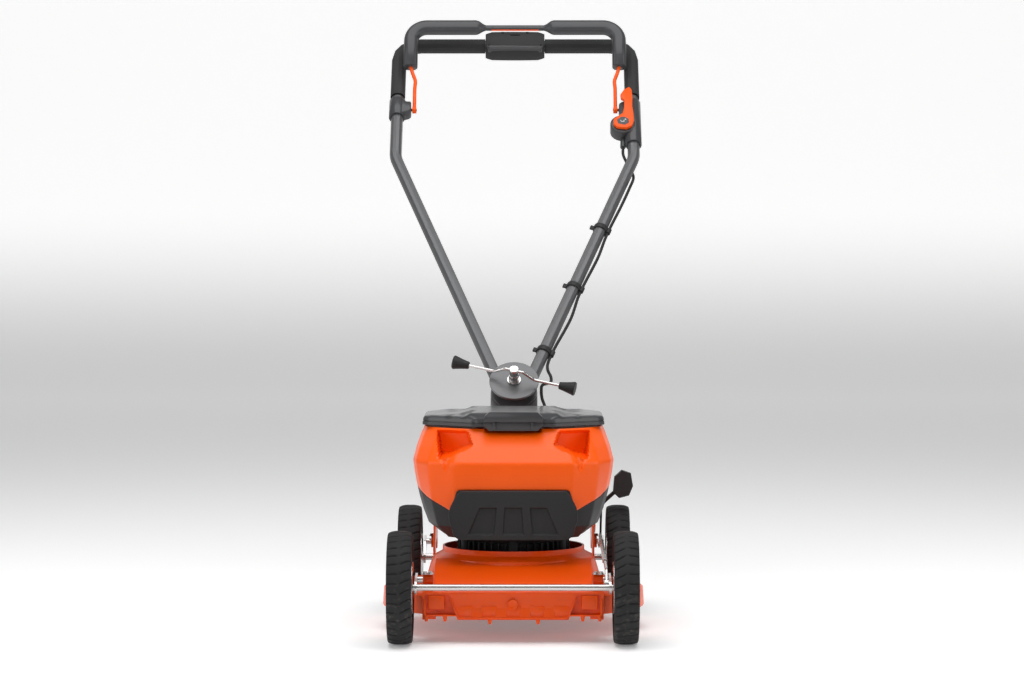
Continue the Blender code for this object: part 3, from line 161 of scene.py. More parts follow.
class NodeBook:
    """Writes the nodes of one material."""

    def __init__(self, name: str) -> None:
        """Starts a material that holds a Principled surface."""
        self.material = bpy.data.materials.new(name)
        self.material.use_nodes = True
        self.tree = self.material.node_tree
        self.surface = self.tree.nodes["Principled BSDF"]
        self.place = self.node("ShaderNodeTexCoord", {}, {}, "Object")

    def node(self, kind: str, settings: dict, values: dict, output: Union[int, str] = 0) -> Signal:
        """Adds a node.

        Args:
            kind: the node's Blender type.
            settings: its properties, set before its sockets.
            values: what each input socket holds, a number, a colour or a Signal.
            output: the output socket that the result reads.

        Returns:
            The chosen output as a Signal.
        """
        made = self.tree.nodes.new(kind)
        for key, value in settings.items():
            setattr(made, key, value)
        for key, value in values.items():
            self.put(made.inputs[key], value)
        return Signal(self, made.outputs[output])

    def put(self, socket: bpy.types.NodeSocket, value: Union[Signal, float, Sequence[float]]) -> None:
        """Gives a socket a value, or links a Signal to it."""
        if isinstance(value, Signal):
            self.tree.links.new(value.socket, socket)
        else:
            socket.default_value = value

    def stretched(self, scale: Point) -> Signal:
        """The piece's own coordinates, scaled on each axis."""
        return self.node("ShaderNodeMapping", {}, {"Vector": self.place, "Scale": scale})

    def noise(self, scale: float, detail: float = 3.0, stretch: Optional[Point] = None) -> Signal:
        """Cloudy noise from 0 to 1 over the piece."""
        where = self.stretched(stretch) if stretch else self.place
        return self.node("ShaderNodeTexNoise", {}, {"Vector": where, "Scale": scale, "Detail": detail}, "Fac")

    def cells(self, scale: float, feature: str = "F1") -> Signal:
        """Distance to the nearest of scattered points, which looks like moulded grain."""
        return self.node("ShaderNodeTexVoronoi", {"feature": feature},
                         {"Vector": self.place, "Scale": scale}, "Distance")

    def axis(self, index: int) -> Signal:
        """One coordinate of the piece in metres."""
        return self.node("ShaderNodeSeparateXYZ", {}, {0: self.place}, index)

    def blend(self, factor: Value, first: Union[Signal, Colour], second: Union[Signal, Colour]) -> Signal:
        """Mixes two colours."""
        paints = [c if isinstance(c, Signal) else (*c, 1.0) for c in (first, second)]
        settings = {"data_type": "RGBA", "clamp_factor": True}
        return self.node("ShaderNodeMix", settings, {0: factor, 6: paints[0], 7: paints[1]}, 2)

    def bump(self, height: Signal, depth: float) -> None:
        """Raises the surface by a height pattern, depth in metres."""
        normal = self.node("ShaderNodeBump", {}, {"Strength": 1.0, "Distance": depth, "Height": height})
        self.put(self.surface.inputs["Normal"], normal)

    def set(self, **sockets: Union[Signal, float, Colour]) -> None:
        """Sets Principled sockets by name, with _ for a space."""
        for key, value in sockets.items():
            socket = self.surface.inputs[key.replace("_", " ")]
            self.put(socket, (*value, 1.0) if isinstance(value, tuple) and len(value) == 3 else value)


# ---------------------------------------------------------------- finishes


@dataclass(frozen=True)
class Finish:
    """A surface: its colour, how that varies, its gloss and its texture.

    Lengths are in metres, and a scale is in cells or waves per metre.
    """

    name: str
    slot: str
    colour: Colour
    roughness: float = 0.4
    metallic: float = 0.0
    coat: float = 0.0
    cloud: float = 0.06
    gloss_cloud: float = 0.05
    dust: float = 0.0

    def material(self) -> bpy.types.Material:
        """Builds the finish once and returns it."""
        known = bpy.data.materials.get(self.name)
        return known or self.write()

    def write(self) -> bpy.types.Material:
        """Writes the nodes that all finishes share, then the finish's own."""
        book = NodeBook(self.name)
        clouds = book.noise(9.0, 4.0)
        deep = tuple(c * (1.0 - self.cloud) for c in self.colour)
        pale = tuple(min(1.0, c * (1.0 + self.cloud)) for c in self.colour)
        paint = self.tint(book, book.blend(clouds, deep, pale))
        if self.dust:
            low = 1.0 - book.axis(2).band(0.02, 0.16)
            speck = book.noise(120.0, 5.0).band(0.50, 0.78) * low * self.dust
            paint = book.blend(speck, paint, (0.20, 0.18, 0.15))
        book.set(Base_Color=paint, Metallic=self.metallic, Coat_Weight=self.coat, Coat_Roughness=0.12)
        book.set(Specular_IOR_Level=0.5 if self.metallic else 0.22)
        book.set(Roughness=book.noise(35.0,
                                      4.0) * (2 * self.gloss_cloud) + (self.roughness - self.gloss_cloud))
        self.texture(book)
        return book.material

    def tint(self, book: NodeBook, paint: Signal) -> Signal:
        """Changes the colour over the piece; a plain finish keeps it."""
        return paint

    def texture(self, book: NodeBook) -> None:
        """Adds the finish's own relief; a plain finish has a faint one."""
        book.bump(book.noise(900.0, 2.0), 0.00002)


@dataclass(frozen=True)
class PowderCoat(Finish):
    """Baked paint with the fine dimpled skin that powder leaves."""

    dimple: float = 0.00005

    def texture(self, book: NodeBook) -> None:
        """Dimples about 2 mm apart, with a finer skin on them."""
        book.bump(book.noise(480.0, 1.0) + book.noise(1500.0, 2.0) * 0.25, self.dimple)


@dataclass(frozen=True)
class Moulded(Finish):
    """Moulded plastic with an etched grain."""

    grain: float = 1100.0
    depth: float = 0.00004

    def texture(self, book: NodeBook) -> None:
        """Pebbled grain, as etched into the mould."""
        book.bump(book.cells(self.grain, "SMOOTH_F1") + book.noise(2600.0, 2.0) * 0.3, self.depth)


@dataclass(frozen=True)
class Brushed(Finish):
    """Plated or ground metal with fine lines along one axis."""

    along: int = 0
    lines: float = 700.0

    def streaks(self, book: NodeBook) -> Signal:
        """Noise drawn out along the part."""
        stretch = tuple(0.02 if index == self.along else 1.0 for index in range(3))
        return book.noise(self.lines, 3.0, stretch)

    def tint(self, book: NodeBook, paint: Signal) -> Signal:
        """Darkens the lines a little."""
        dark = tuple(c * 0.72 for c in self.colour)
        return book.blend(self.streaks(book).band(0.35, 0.75) * 0.5, paint, dark)

    def texture(self, book: NodeBook) -> None:
        """Scratches the surface along the lines."""
        book.bump(self.streaks(book), 0.00003)


@dataclass(frozen=True)
class TyreRubber(Finish):
    """Tyre rubber: matt, with moulding lines round the wall and pale scuffs on the tread."""

    def tint(self, book: NodeBook, paint: Signal) -> Signal:
        """Scuffs the rubber in small pale clouds."""
        scuff = book.noise(60.0, 6.0).band(0.55, 0.85)
        return book.blend(scuff * 0.25, paint, tuple(c * 2.4 for c in self.colour))

    def texture(self, book: NodeBook) -> None:
        """A skin of fine pits."""
        book.bump(book.noise(1300.0, 4.0) + book.noise(300.0, 2.0) * 0.5, 0.00008)


@dataclass(frozen=True)
class Knurled(Finish):
    """Soft cover with a fine diamond texture."""

    pitch: float = 0.0016

    def texture(self, book: NodeBook) -> None:
        """Two crossed sets of waves make small diamonds."""
        waves = []
        for turn in (0.8, -0.8):
            settings = {"vector_type": "POINT"}
            values = {"Vector": book.place, "Rotation": (turn, turn, turn)}
            where = book.node("ShaderNodeMapping", settings, values)
            wave = book.node("ShaderNodeTexWave", {},
                             {"Vector": where, "Scale": 0.32 / self.pitch, "Distortion": 0.0}, "Fac")
            waves.append(wave)
        book.bump(waves[0] * waves[1], 0.00012)


ORANGE_STEEL = PowderCoat("orange_powder_coat", "deck", (0.84, 0.080, 0.0008), roughness=0.34, coat=0.12,
                          cloud=0.04, dust=0.12)
ORANGE_SHELL = Moulded("orange_moulding", "orange_shell", (0.95, 0.105, 0.0010), roughness=0.36, coat=0.10,
                       depth=0.000015)
ORANGE_LEVER = Moulded("orange_lever_moulding", "orange_lever", (0.86, 0.090, 0.0020), roughness=0.38,
                       depth=0.00002)
BLACK_SHELL = Moulded("black_moulding", "black_plastic", (0.027, 0.027, 0.028), roughness=0.50, depth=0.00006)
GREY_SHELL = Moulded("dark_grey_moulding", "grey_plastic", (0.050, 0.051, 0.054), roughness=0.32, coat=0.2,
                     depth=0.00003)
RIM_PLASTIC = Moulded("rim_moulding", "rim", (0.055, 0.055, 0.058), roughness=0.45, dust=0.25)
RUBBER = TyreRubber("tyre_rubber", "tyre", (0.020, 0.020, 0.0205), roughness=0.72, cloud=0.12, dust=0.30)
GRIP = Knurled("grip_cover", "grip", (0.032, 0.032, 0.033), roughness=0.62)
SHEATH = Finish("cable_sheath", "cable", (0.018, 0.018, 0.018), roughness=0.48)
TUBE_COAT = PowderCoat("grey_powder_coat", "tube", (0.105, 0.106, 0.110), roughness=0.38, metallic=0.35,
                       coat=0.15, dimple=0.00003)
ZINC = Brushed("zinc_plate", "steel", (0.66, 0.64, 0.63), roughness=0.24, metallic=1.0, along=0, cloud=0.10)
ZINC_LONG = Brushed("zinc_rod", "steel", (0.66, 0.64, 0.63), roughness=0.26, metallic=1.0, along=1,
                    cloud=0.10)
BLADE_STEEL = Brushed("blade_steel", "blade", (0.22, 0.22, 0.23), roughness=0.38, metallic=1.0, along=1,
                      dust=0.3)
CAST = Finish("cast_metal", "cast", (0.42, 0.42, 0.43), roughness=0.55, metallic=0.9, cloud=0.15)
BLACK_DEEP = Finish("deep_black", "black_plastic", (0.006, 0.006, 0.006), roughness=0.60)
WHITE_PRINT = Finish("pale_print", "grey_plastic", (0.62, 0.62, 0.62), roughness=0.55)


# ---------------------------------------------------------------- mesh work


class Shape:
    """A mesh on its way to becoming a piece, made with bmesh operators."""

    def __init__(self) -> None:
        """Starts empty."""
        self.bm = bmesh.new()

    @classmethod
    def of_node(cls, node: str) -> "Shape":
        """A merged copy of a frame node's mesh, its flat faces whole again.

        Args:
            node: the frame node to copy.

        Returns:
            The copy, ready for finer edges.
        """
        shape = cls()
        shape.bm.from_mesh(bpy.data.objects[node].data)
        bmesh.ops.remove_doubles(shape.bm, verts=shape.bm.verts, dist=0.00001)
        bmesh.ops.dissolve_limit(shape.bm, angle_limit=0.01, verts=shape.bm.verts, edges=shape.bm.edges)
        return shape

    def box(self, low: Point, high: Point, rounding: float = 0.0,
            segments: int = 2) -> list[bmesh.types.BMVert]:
        """Adds a box between two corners, its edges rounded."""
        old = set(self.bm.verts)
        span = Vector(high) - Vector(low)
        place = Matrix.Translation((Vector(low) + Vector(high)) / 2) @ Matrix.Diagonal((*span, 1.0))
        made = bmesh.ops.create_cube(self.bm, size=1.0, matrix=place)["verts"]
        if rounding:
            self.round(made, rounding, segments)
        return self.since(old)

    def cylinder(self, start: Point, end: Point, radius: float, tip: Optional[float] = None,
                 segments: int = 32,
                 rounding: float = 0.0) -> list[bmesh.types.BMVert]:
        """Adds a cylinder or cone between two points, its rims rounded."""
        old = set(self.bm.verts)
        low, high = Vector(start), Vector(end)
        turn = (high - low).to_track_quat("Z", "Y").to_matrix().to_4x4()
        place = Matrix.Translation((low + high) / 2) @ turn
        radii = {"radius1": radius, "radius2": radius if tip is None else tip}
        made = bmesh.ops.create_cone(
            self.bm, cap_ends=True, segments=segments, depth=(high - low).length, matrix=place, **radii
        )["verts"]
        if rounding:
            rims = [e for e in self._edges(made) if e.calc_face_angle(0.0) > 0.9]
            self._bevel(rims, rounding, 3)
        return self.since(old)

    def prism(self, outline: Sequence[tuple[float, float]], low: float, high: float, plane: Plane,
              rounding: float = 0.0) -> list[bmesh.types.BMVert]:
        """Adds an outline extruded across its plane.

        Args:
            outline: the corners, in the plane's two axes.
            low: where the extrusion starts on the third axis.
            high: where it ends.
            plane: the plane that the outline lies in.
            rounding: how far its edges are rounded.

        Returns:
            The prism's vertices.
        """
        old = set(self.bm.verts)
        put = {
            Plane.XZ: lambda a, b: (a, low, b),
            Plane.YZ: lambda a, b: (low, a, b),
            Plane.XY: lambda a, b: (a, b, low),
        }[plane]
        across = {Plane.XZ: (0, high - low, 0), Plane.YZ: (high - low, 0, 0),
                  Plane.XY: (0, 0, high - low)}[plane]
        corners = [self.bm.verts.new(put(a, b)) for a, b in outline]
        face = self.bm.faces.new(corners)
        grown = bmesh.ops.extrude_face_region(self.bm, geom=[face])["geom"]
        far = [item for item in grown if isinstance(item, bmesh.types.BMVert)]
        bmesh.ops.translate(self.bm, verts=far, vec=across)
        made = corners + far
        bmesh.ops.recalc_face_normals(self.bm, faces=self._faces(made))
        if rounding:
            self.round(made, rounding, 2)
        return self.since(old)

    def since(self, old: set[bmesh.types.BMVert]) -> list[bmesh.types.BMVert]:
        """The vertices made since a set was taken."""
        return [v for v in self.bm.verts if v not in old]

    def turned(self, profile: Sequence[tuple[float, float]], centre: Point, axis: Point,
               segments: int = 64) -> list[bmesh.types.BMVert]:
        """Spins a closed profile of (radius, distance along the axis) about an axis."""
        line = Vector(axis).normalized()
        out = line.orthogonal().normalized()
        origin = Vector(centre)
        ring = [self.bm.verts.new(origin + out * radius + line * along) for radius, along in profile]
        edges = [self.bm.edges.new((a, b)) for a, b in zip(ring, ring[1:] + ring[:1])]
        old = set(self.bm.verts) - set(ring)
        bmesh.ops.spin(
            self.bm, geom=ring + edges, cent=origin, axis=line, angle=math.tau, steps=segments, use_merge=True
        )
        made = self.since(old)
        bmesh.ops.recalc_face_normals(self.bm, faces=self._faces(made))
        return made

    def move(self, verts: Iterable[bmesh.types.BMVert], matrix: Matrix) -> None:
        """Transforms some vertices."""
        bmesh.ops.transform(self.bm, matrix=matrix, verts=list(verts))

    def round(self, verts: Iterable[bmesh.types.BMVert], width: float, segments: int = 2,
              angle: float = 0.5) -> None:
        """Rounds the sharp edges among some vertices."""
        self._bevel([e for e in self._edges(verts) if e.calc_face_angle(0.0) > angle], width, segments)

    def _bevel(self, edges: list[bmesh.types.BMEdge], width: float, segments: int) -> None:
        """Bevels edges to a round."""
        bmesh.ops.bevel(
            self.bm, geom=edges, offset=width, segments=segments, profile=0.5, affect="EDGES",
            material=-1, clamp_overlap=True,
        )

    def _edges(self, verts: Iterable[bmesh.types.BMVert]) -> list[bmesh.types.BMEdge]:
        """The edges that lie wholly among some vertices."""
        chosen = set(verts)
        return [e for e in self.bm.edges if e.verts[0] in chosen and e.verts[1] in chosen]

    def _faces(self, verts: Iterable[bmesh.types.BMVert]) -> list[bmesh.types.BMFace]:
        """The faces that lie wholly among some vertices."""
        chosen = set(verts)
        return [f for f in self.bm.faces if all(v in chosen for v in f.verts)]

    def piece(self, name: str, finish: Finish, body: str, replaces: Sequence[str] = (),
              crease: float = 32.0) -> bpy.types.Object:
        """Ends the mesh work and hands the object to its body.

        Args:
            name: the piece's name.
            finish: its finish, whose slot the piece takes.
            body: the body that it moves with.
            replaces: frame nodes that it stands for.
            crease: the angle in degrees past which an edge stays sharp.

        Returns:
            The finished object.
        """
        mesh = bpy.data.meshes.new(name)
        self.bm.to_mesh(mesh)
        self.bm.free()
        mesh.shade_smooth()
        mesh.set_sharp_from_angle(angle=math.radians(crease))
        return settle(bpy.data.objects.new(name, mesh), finish, body, replaces)


def settle(obj: bpy.types.Object, finish: Finish, body: str,
           replaces: Sequence[str] = ()) -> bpy.types.Object:
    """Links an object, dresses it, and lets it ride on its body."""
    if obj.name not in bpy.context.scene.collection.objects:
        bpy.context.scene.collection.objects.link(obj)
    obj.data.materials.clear()
    obj.data.materials.append(finish.material())
    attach(obj, body)
    if replaces:
        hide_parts(*replaces)
    LOG.info("%s rides on %s", obj.name, body)
    return obj


def soft_edges(obj: bpy.types.Object, width: float, segments: int = 2,
               angle: float = 30.0) -> bpy.types.Object:
    """Rounds a piece's hard edges with a live bevel."""
    step = obj.modifiers.new("Edges", "BEVEL")
    step.width = width
    step.segments = segments
    step.limit_method = "ANGLE"
    step.angle_limit = math.radians(angle)
    step.harden_normals = True
    return obj


def tube(name: str, route: Sequence[Point], radius: float, sides: int = 16) -> bpy.types.Object:
    """A round rod or hose along a smooth line through some points, as a mesh object."""
    line = bpy.data.curves.new(name + "_line", "CURVE")
    line.dimensions = "3D"
    line.bevel_depth = radius
    line.bevel_resolution = max(1, sides // 4 - 1)
    line.use_fill_caps = True
    spline = line.splines.new("POLY")
    spline.points.add(len(route) - 1)
    for point, place in zip(spline.points, route):
        point.co = (*place, 1.0)
    holder = bpy.data.objects.new(name + "_line", line)
    bpy.context.scene.collection.objects.link(holder)
    bpy.context.view_layer.update()
    mesh = bpy.data.meshes.new_from_object(holder.evaluated_get(bpy.context.evaluated_depsgraph_get()))
    bpy.data.objects.remove(holder)
    bpy.data.curves.remove(line)
    mesh.name = name
    mesh.shade_smooth()
    mesh.set_sharp_from_angle(angle=math.radians(40.0))
    return bpy.data.objects.new(name, mesh)


def smooth_through(points: Sequence[Point], per_span: int = 8) -> list[Point]:
    """Points along a Catmull-Rom curve through the given ones."""
    knots = [Vector(p) for p in points]
    knots = [2 * knots[0] - knots[1]] + knots + [2 * knots[-1] - knots[-2]]
    line = []
    for a, b, c, d in zip(knots, knots[1:], knots[2:], knots[3:]):
        for step in range(per_span):
            t = step / per_span
            bend = 2 * a - 5 * b + 4 * c - d
            twist = 3 * b - a - 3 * c + d
            spot = 0.5 * ((2 * b) + (c - a) * t + bend * t**2 + twist * t**3)
            line.append(tuple(spot))
    return line + [tuple(knots[-2])]


# ---------------------------------------------------------------- frame and stage


class Frame:
    """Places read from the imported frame."""

    def __init__(self, data: dict) -> None:
        """Keeps the joints by name, and the handle plane's two directions."""
        self.joints = {joint["name"]: joint for joint in data["record"]["behaviour"]["joints"]}
        self.nodes = data["nodes"]
        self.body_of = {n: body for body, names in data["bodies_by_name"].items() for n in names}
        self.slope = math.sqrt(0.5)
        self.swivel = self.pivot("handle_swing")

    def pivot(self, joint: str) -> Vector:
        """A point on a joint's axis."""
        return Vector(self.joints[joint]["pos_m"])

    def on_handle(self, x: float, along: float, out: float) -> Vector:
        """A point in the handle's own plane.

        Args:
            x: distance to the mower's left.
            along: distance up the handle from the swivel.
            out: height over the handle's plane.

        Returns:
            The point in the frame.
        """
        return self.swivel + Vector((x, self.slope * (along - out), self.slope * (along + out)))

    def handle_matrix(self) -> Matrix:
        """Takes (x, along, out) in the handle's plane to the frame."""
        columns = Matrix(((1, 0, 0), (0, self.slope, -self.slope), (0, self.slope, self.slope)))
        return Matrix.Translation(self.swivel) @ columns.to_4x4()

    def low(self, node: str) -> Vector:
        """A node's lowest corner."""
        return Vector(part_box(node)[0])

    def high(self, node: str) -> Vector:
        """A node's highest corner."""
        return Vector(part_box(node)[1])

    def middle(self, node: str) -> Vector:
        """The middle of a node's box."""
        return (self.low(node) + self.high(node)) / 2


@dataclass
class Studio:
    """A pale sweep, soft lights and the camera in front of the mower."""

    distance: float = 6.05
    eye_height: float = 0.76
    eye_x: float = 0.020
    lens: float = 116.1
    pitch: float = math.radians(2.24)
    yaw: float = math.radians(0.2155)
    sweep_half: float = 9.0
    sweep_near: float = -8.5
    sweep_far: float = 7.0
    sweep_height: float = 7.0
    sweep_bend: float = 3.0

    def build(self, frame: Frame) -> None:
        """Makes the whole stage."""
        motor = frame.pivot("cutter_spin")
        self.sweep()
        self.camera(motor)
        self.lamps(motor)
        self.surroundings()

    def sweep(self) -> None:
        """A floor that bends up into a wall behind the mower."""
        shape = Shape()
        corner = [
            (self.sweep_far + self.sweep_bend * math.sin(a), self.sweep_bend * (1 - math.cos(a)))
            for a in (math.radians(step * 9.0) for step in range(11))
        ]
        line = [(self.sweep_near, 0.0)] + corner + [(self.sweep_far + self.sweep_bend, self.sweep_height)]
        verts = [shape.bm.verts.new((-self.sweep_half, y, z)) for y, z in line]
        edges = [shape.bm.edges.new(pair) for pair in zip(verts, verts[1:])]
        grown = bmesh.ops.extrude_edge_only(shape.bm, edges=edges)["geom"]
        far = [item for item in grown if isinstance(item, bmesh.types.BMVert)]
        bmesh.ops.translate(shape.bm, verts=far, vec=(2 * self.sweep_half, 0, 0))
        mesh = bpy.data.meshes.new("floor")
        shape.bm.to_mesh(mesh)
        shape.bm.free()
        mesh.shade_smooth()
        floor = bpy.data.objects.new("floor", mesh)
        bpy.context.scene.collection.objects.link(floor)
        book = NodeBook("pale_floor")
        book.set(Base_Color=(0.88, 0.88, 0.88), Roughness=0.9, Specular_IOR_Level=0.1)
        glow = book.blend(book.axis(2).band(0.02, 0.80), (0.30, 0.30, 0.30), (1.0, 1.0, 1.0))
        book.set(Emission_Color=glow, Emission_Strength=0.62)
        mesh.materials.append(book.material)

    def camera(self, motor: Vector) -> None:
        """Stands the camera in front, at chest height, looking slightly down."""
        lens = bpy.data.cameras.new("camera")
        lens.lens = self.lens
        lens.sensor_width = 36.0
        camera = bpy.data.objects.new("camera", lens)
        camera.location = (self.eye_x, motor.y - self.distance, self.eye_height)
        camera.rotation_euler = (math.pi / 2 - self.pitch, 0.0, self.yaw)
        bpy.context.scene.collection.objects.link(camera)
        bpy.context.scene.camera = camera

    def lamp(self, name: str, place: Vector, target: Vector, size: tuple[float, float], power: float) -> None:
        """Adds one soft rectangular lamp that points at a target."""
        data = bpy.data.lights.new(name, "AREA")
        data.shape = "RECTANGLE"
        data.size, data.size_y = size
        data.energy = power
        lamp = bpy.data.objects.new(name, data)
        lamp.location = place
        lamp.rotation_euler = (target - place).to_track_quat("-Z", "Y").to_euler()
        bpy.context.scene.collection.objects.link(lamp)

    def lamps(self, motor: Vector) -> None:
        """A top light, a front fill and two side lights."""
        aim = Vector((0.0, motor.y, 0.4))
        self.lamp("top", Vector((0.0, motor.y - 0.6, 3.6)), aim, (3.4, 3.4), 112.0)
        self.lamp("front", Vector((-1.6, motor.y - 4.6, 2.2)), aim, (2.2, 1.6), 26.0)
        self.lamp("left", Vector((3.0, motor.y - 0.8, 1.5)), aim, (1.0, 2.4), 22.0)
        self.lamp("right", Vector((-3.0, motor.y - 0.8, 1.5)), aim, (1.0, 2.4), 22.0)

    def surroundings(self) -> None:
        """An even pale surround."""
        world = bpy.data.worlds.new("studio")
        world.use_nodes = True
        shade = world.node_tree.nodes["Background"]
        shade.inputs["Color"].default_value = (1.0, 1.0, 1.0, 1.0)
        shade.inputs["Strength"].default_value = 0.22
        bpy.context.scene.world = world
        bpy.context.scene.view_settings.view_transform = "Standard"


# ---------------------------------------------------------------- frame pieces with finer edges


@dataclass
class FinerNodes:
    """Frame pieces whose shape stays, remade with rounded edges and a finish."""

    widths: dict[str, float] = field(default_factory=dict)
    finishes: dict[str, Finish] = field(default_factory=dict)
    crease: float = 24.0

    def build(self, frame: Frame, taken: set[str]) -> None:
        """Remakes every node that no other class takes.

        Args:
            frame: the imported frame.
            taken: nodes that other pieces stand for.
        """
        for node in sorted(set(frame.nodes) - taken):
            finish = self.finishes[node]
            width = self.widths.get(node, 0.0)
            if width:
                shape = Shape.of_node(node)
                made = shape.piece(node + "_shell", finish, frame.body_of[node], [node], self.crease)
                soft_edges(made, width)
            else:
                obj = frame.nodes[node]
                obj.data.materials.clear()
                obj.data.materials.append(finish.material())


# ---------------------------------------------------------------- wheels


@dataclass
class Wheels:
    """Four ribbed tyres on moulded spoked rims, each with a plated disc on its inner side."""

    radius: float = 0.100
    half: float = 0.022
    rim_radius: float = 0.0783
    blocks: int = 36
    steps_per_block: int = 14
    groove_depth: float = 0.0024
    groove_half: float = 0.0015
    centre_rib: float = 0.0016
    spokes: int = 10
    disc_radius: float = 0.046

    def build(self, frame: Frame) -> set[str]:
        """Makes every wheel and returns the frame nodes that the pieces stand for."""
        taken = set()
        tread = self.tread()
        for end in End:
            for side in Side:
                hub = frame.pivot(f"{end.value}_{side.word}_roll")
                body = f"{end.value}_wheel_{side.word}"
                tyre, rim = f"{end.value}_tyre_{side.word}", f"{end.value}_rim_{side.word}"
                self.tyre(tread, tyre, hub, side, body)
                self.rim(rim, hub, side, body)
                self.disc(f"{end.value}_wheel_disc_{side.word}", hub, side, body)
                taken |= {tyre, rim}
        return taken

    def tyre_profile(self) -> list[tuple[float, float]]:
        """The tyre's closed section: bead, wall with a raised line, shoulder and finely cut crown."""
        wall = [
            (self.rim_radius, 0.0188), (0.0815, 0.0206), (0.0838, 0.0213), (0.0846, 0.0220), (0.0858, 0.0220),
            (0.0866, 0.0214), (0.0905, 0.0219), (0.0935, 0.0217), (0.0960, 0.0208),
        ]
        crown = []
        for step in range(19):
            across = 0.0195 * (1 - step / 9)
            drop = 0.0032 * abs(across / 0.0195) ** 3
            crown.append((self.radius - drop, across))
        return wall + crown + [(r, -w) for r, w in reversed(wall)]

    def groove(self, turn: float, across: float) -> float:
        """How deep the tread is cut at a place.

        Args:
            turn: the place round the tyre in radians.
            across: the place across it, positive outwards.

        Returns:
            The depth in metres.
        """
        pitch = math.tau * self.radius / self.blocks
        reach = min(1.0, abs(across) / 0.0195)
        if abs(across) < self.centre_rib:
            return 0.0
        if across > 0:
            bend = 0.10 * max(0.0, 1.0 - reach * 3.0)
            start = 0.5
        else:
            bend = 0.55 * (1.0 - reach) ** 1.4
            start = 0.05
        phase = (turn / math.tau * self.blocks + start + bend) % 1.0 - 0.5
        gap = abs(phase) * pitch / self.groove_half
        fade = min(1.0, (abs(across) - self.centre_rib) / 0.0015)
        return self.groove_depth * fade * max(0.0, 1.0 - gap**2) ** 0.5 if gap < 1 else 0.0

    def tread(self) -> bpy.types.Mesh:
        """One tyre about the origin, outer side along +X: a block's width is spun, then repeated."""
        shape = Shape()
        ring = [shape.bm.verts.new((across, radius, 0.0)) for radius, across in self.tyre_profile()]
        edges = [shape.bm.edges.new(pair) for pair in zip(ring, ring[1:] + ring[:1])]
        block = math.tau / self.blocks
        about = {"cent": (0, 0, 0), "axis": (1, 0, 0)}
        bmesh.ops.spin(shape.bm, geom=ring + edges, angle=block, steps=self.steps_per_block, **about)
        bmesh.ops.spin(
            shape.bm, geom=list(shape.bm.verts) + list(shape.bm.edges) + list(shape.bm.faces),
            angle=math.tau - block,
            steps=self.blocks - 1, use_duplicate=True, **about,
        )
        bmesh.ops.remove_doubles(shape.bm, verts=shape.bm.verts, dist=0.00001)
        bmesh.ops.recalc_face_normals(shape.bm, faces=shape.bm.faces)
        for vert in shape.bm.verts:
            arm = Vector((0, vert.co.y, vert.co.z))
            if arm.length > 0.0925:
                vert.co -= arm.normalized() * self.groove(math.atan2(arm.z, arm.y), vert.co.x)
        mesh = bpy.data.meshes.new("tread")
        shape.bm.to_mesh(mesh)
        shape.bm.free()
        return mesh

    def tyre(self, tread: bpy.types.Mesh, name: str, hub: Vector, side: Side, body: str) -> None:
        """Puts a copy of the tyre on its hub, outer side out."""
        shape = Shape()
        shape.bm.from_mesh(tread)
        turn = Matrix.Rotation(0.0 if side is Side.LEFT else math.pi, 4, "Z")
        shape.move(shape.bm.verts, Matrix.Translation(hub) @ turn)
        shape.piece(name + "_tread", RUBBER, body, [name], crease=55.0)

    def rim(self, name: str, hub: Vector, side: Side, body: str) -> None:
        """A dished rim with ribs, a hub and a cap."""
        shape = Shape()
        section = [
            (0.0064, -0.0210), (0.0150, -0.0210), (0.0165, -0.0195), (0.0175, 0.0040), (0.0560, 0.0020),
            (0.0630, -0.0165),
            (0.0660, -0.0185), (0.0780, -0.0187), (0.0780, -0.0165), (0.0750, -0.0120), (0.0750, 0.0120),
            (0.0780, 0.0165),
            (0.0780, 0.0187), (0.0715, 0.0192), (0.0700, 0.0175), (0.0660, 0.0060), (0.0600, 0.0050),
            (0.0205, 0.0075),
            (0.0190, 0.0175), (0.0170, 0.0190), (0.0064, 0.0190),
        ]
        shape.turned(section, hub, (side.value, 0, 0), 96)
        for index in range(self.spokes):
            rib = shape.box((0.0045 * side.value - 0.0055, 0.0180, -0.0013),
                            (0.0045 * side.value + 0.0055, 0.0665, 0.0013), 0.0006)
            turn = Matrix.Rotation(math.tau * index / self.spokes, 4, "X")
            shape.move(rib, Matrix.Translation(hub) @ turn)
        cap = hub + Vector((side.value * 0.0185, 0, 0))
        shape.cylinder(cap, cap + Vector((side.value * 0.0030, 0, 0)), 0.0150, 0.0120, 48, 0.0010)
        shape.piece(name + "_spoked", RIM_PLASTIC, body, [name], crease=35.0)

    def disc(self, name: str, hub: Vector, side: Side, body: str) -> None:
        """The plated disc that closes the wheel's inner side."""
        shape = Shape()
        inner = -(self.half + 0.0008)
        section = [
            (0.0075, inner), (0.0200, inner), (0.0240, inner + 0.0022), (0.0400, inner + 0.0022),
            (self.disc_radius - 0.0020, inner), (self.disc_radius, inner + 0.0006),
            (self.disc_radius, inner + 0.0030),
            (0.0075, inner + 0.0036),
        ]
        shape.turned(section, hub, (side.value, 0, 0), 80)
        shape.piece(name, ZINC, body, crease=35.0)


# ---------------------------------------------------------------- body


def between(low: float, high: float, share: float) -> float:
    """A number part of the way from one to another."""
    return low + (high - low) * share


def along_keys(keys: Sequence[tuple[float, ...]], height: float) -> tuple[float, ...]:
    """Interpolates rows of (height, values...) at a height.

    Args:
        keys: rows in rising order of height.
        height: where to read them.

    Returns:
        The values at that height.
    """
    below, above = keys[0], keys[-1]
    for first, second in zip(keys, keys[1:]):
        if first[0] <= height <= second[0]:
            below, above = first, second
    span = above[0] - below[0]
    share = min(1.0, max(0.0, (height - below[0]) / span)) if span else 0.0
    return tuple(between(a, b, share) for a, b in zip(below[1:], above[1:]))


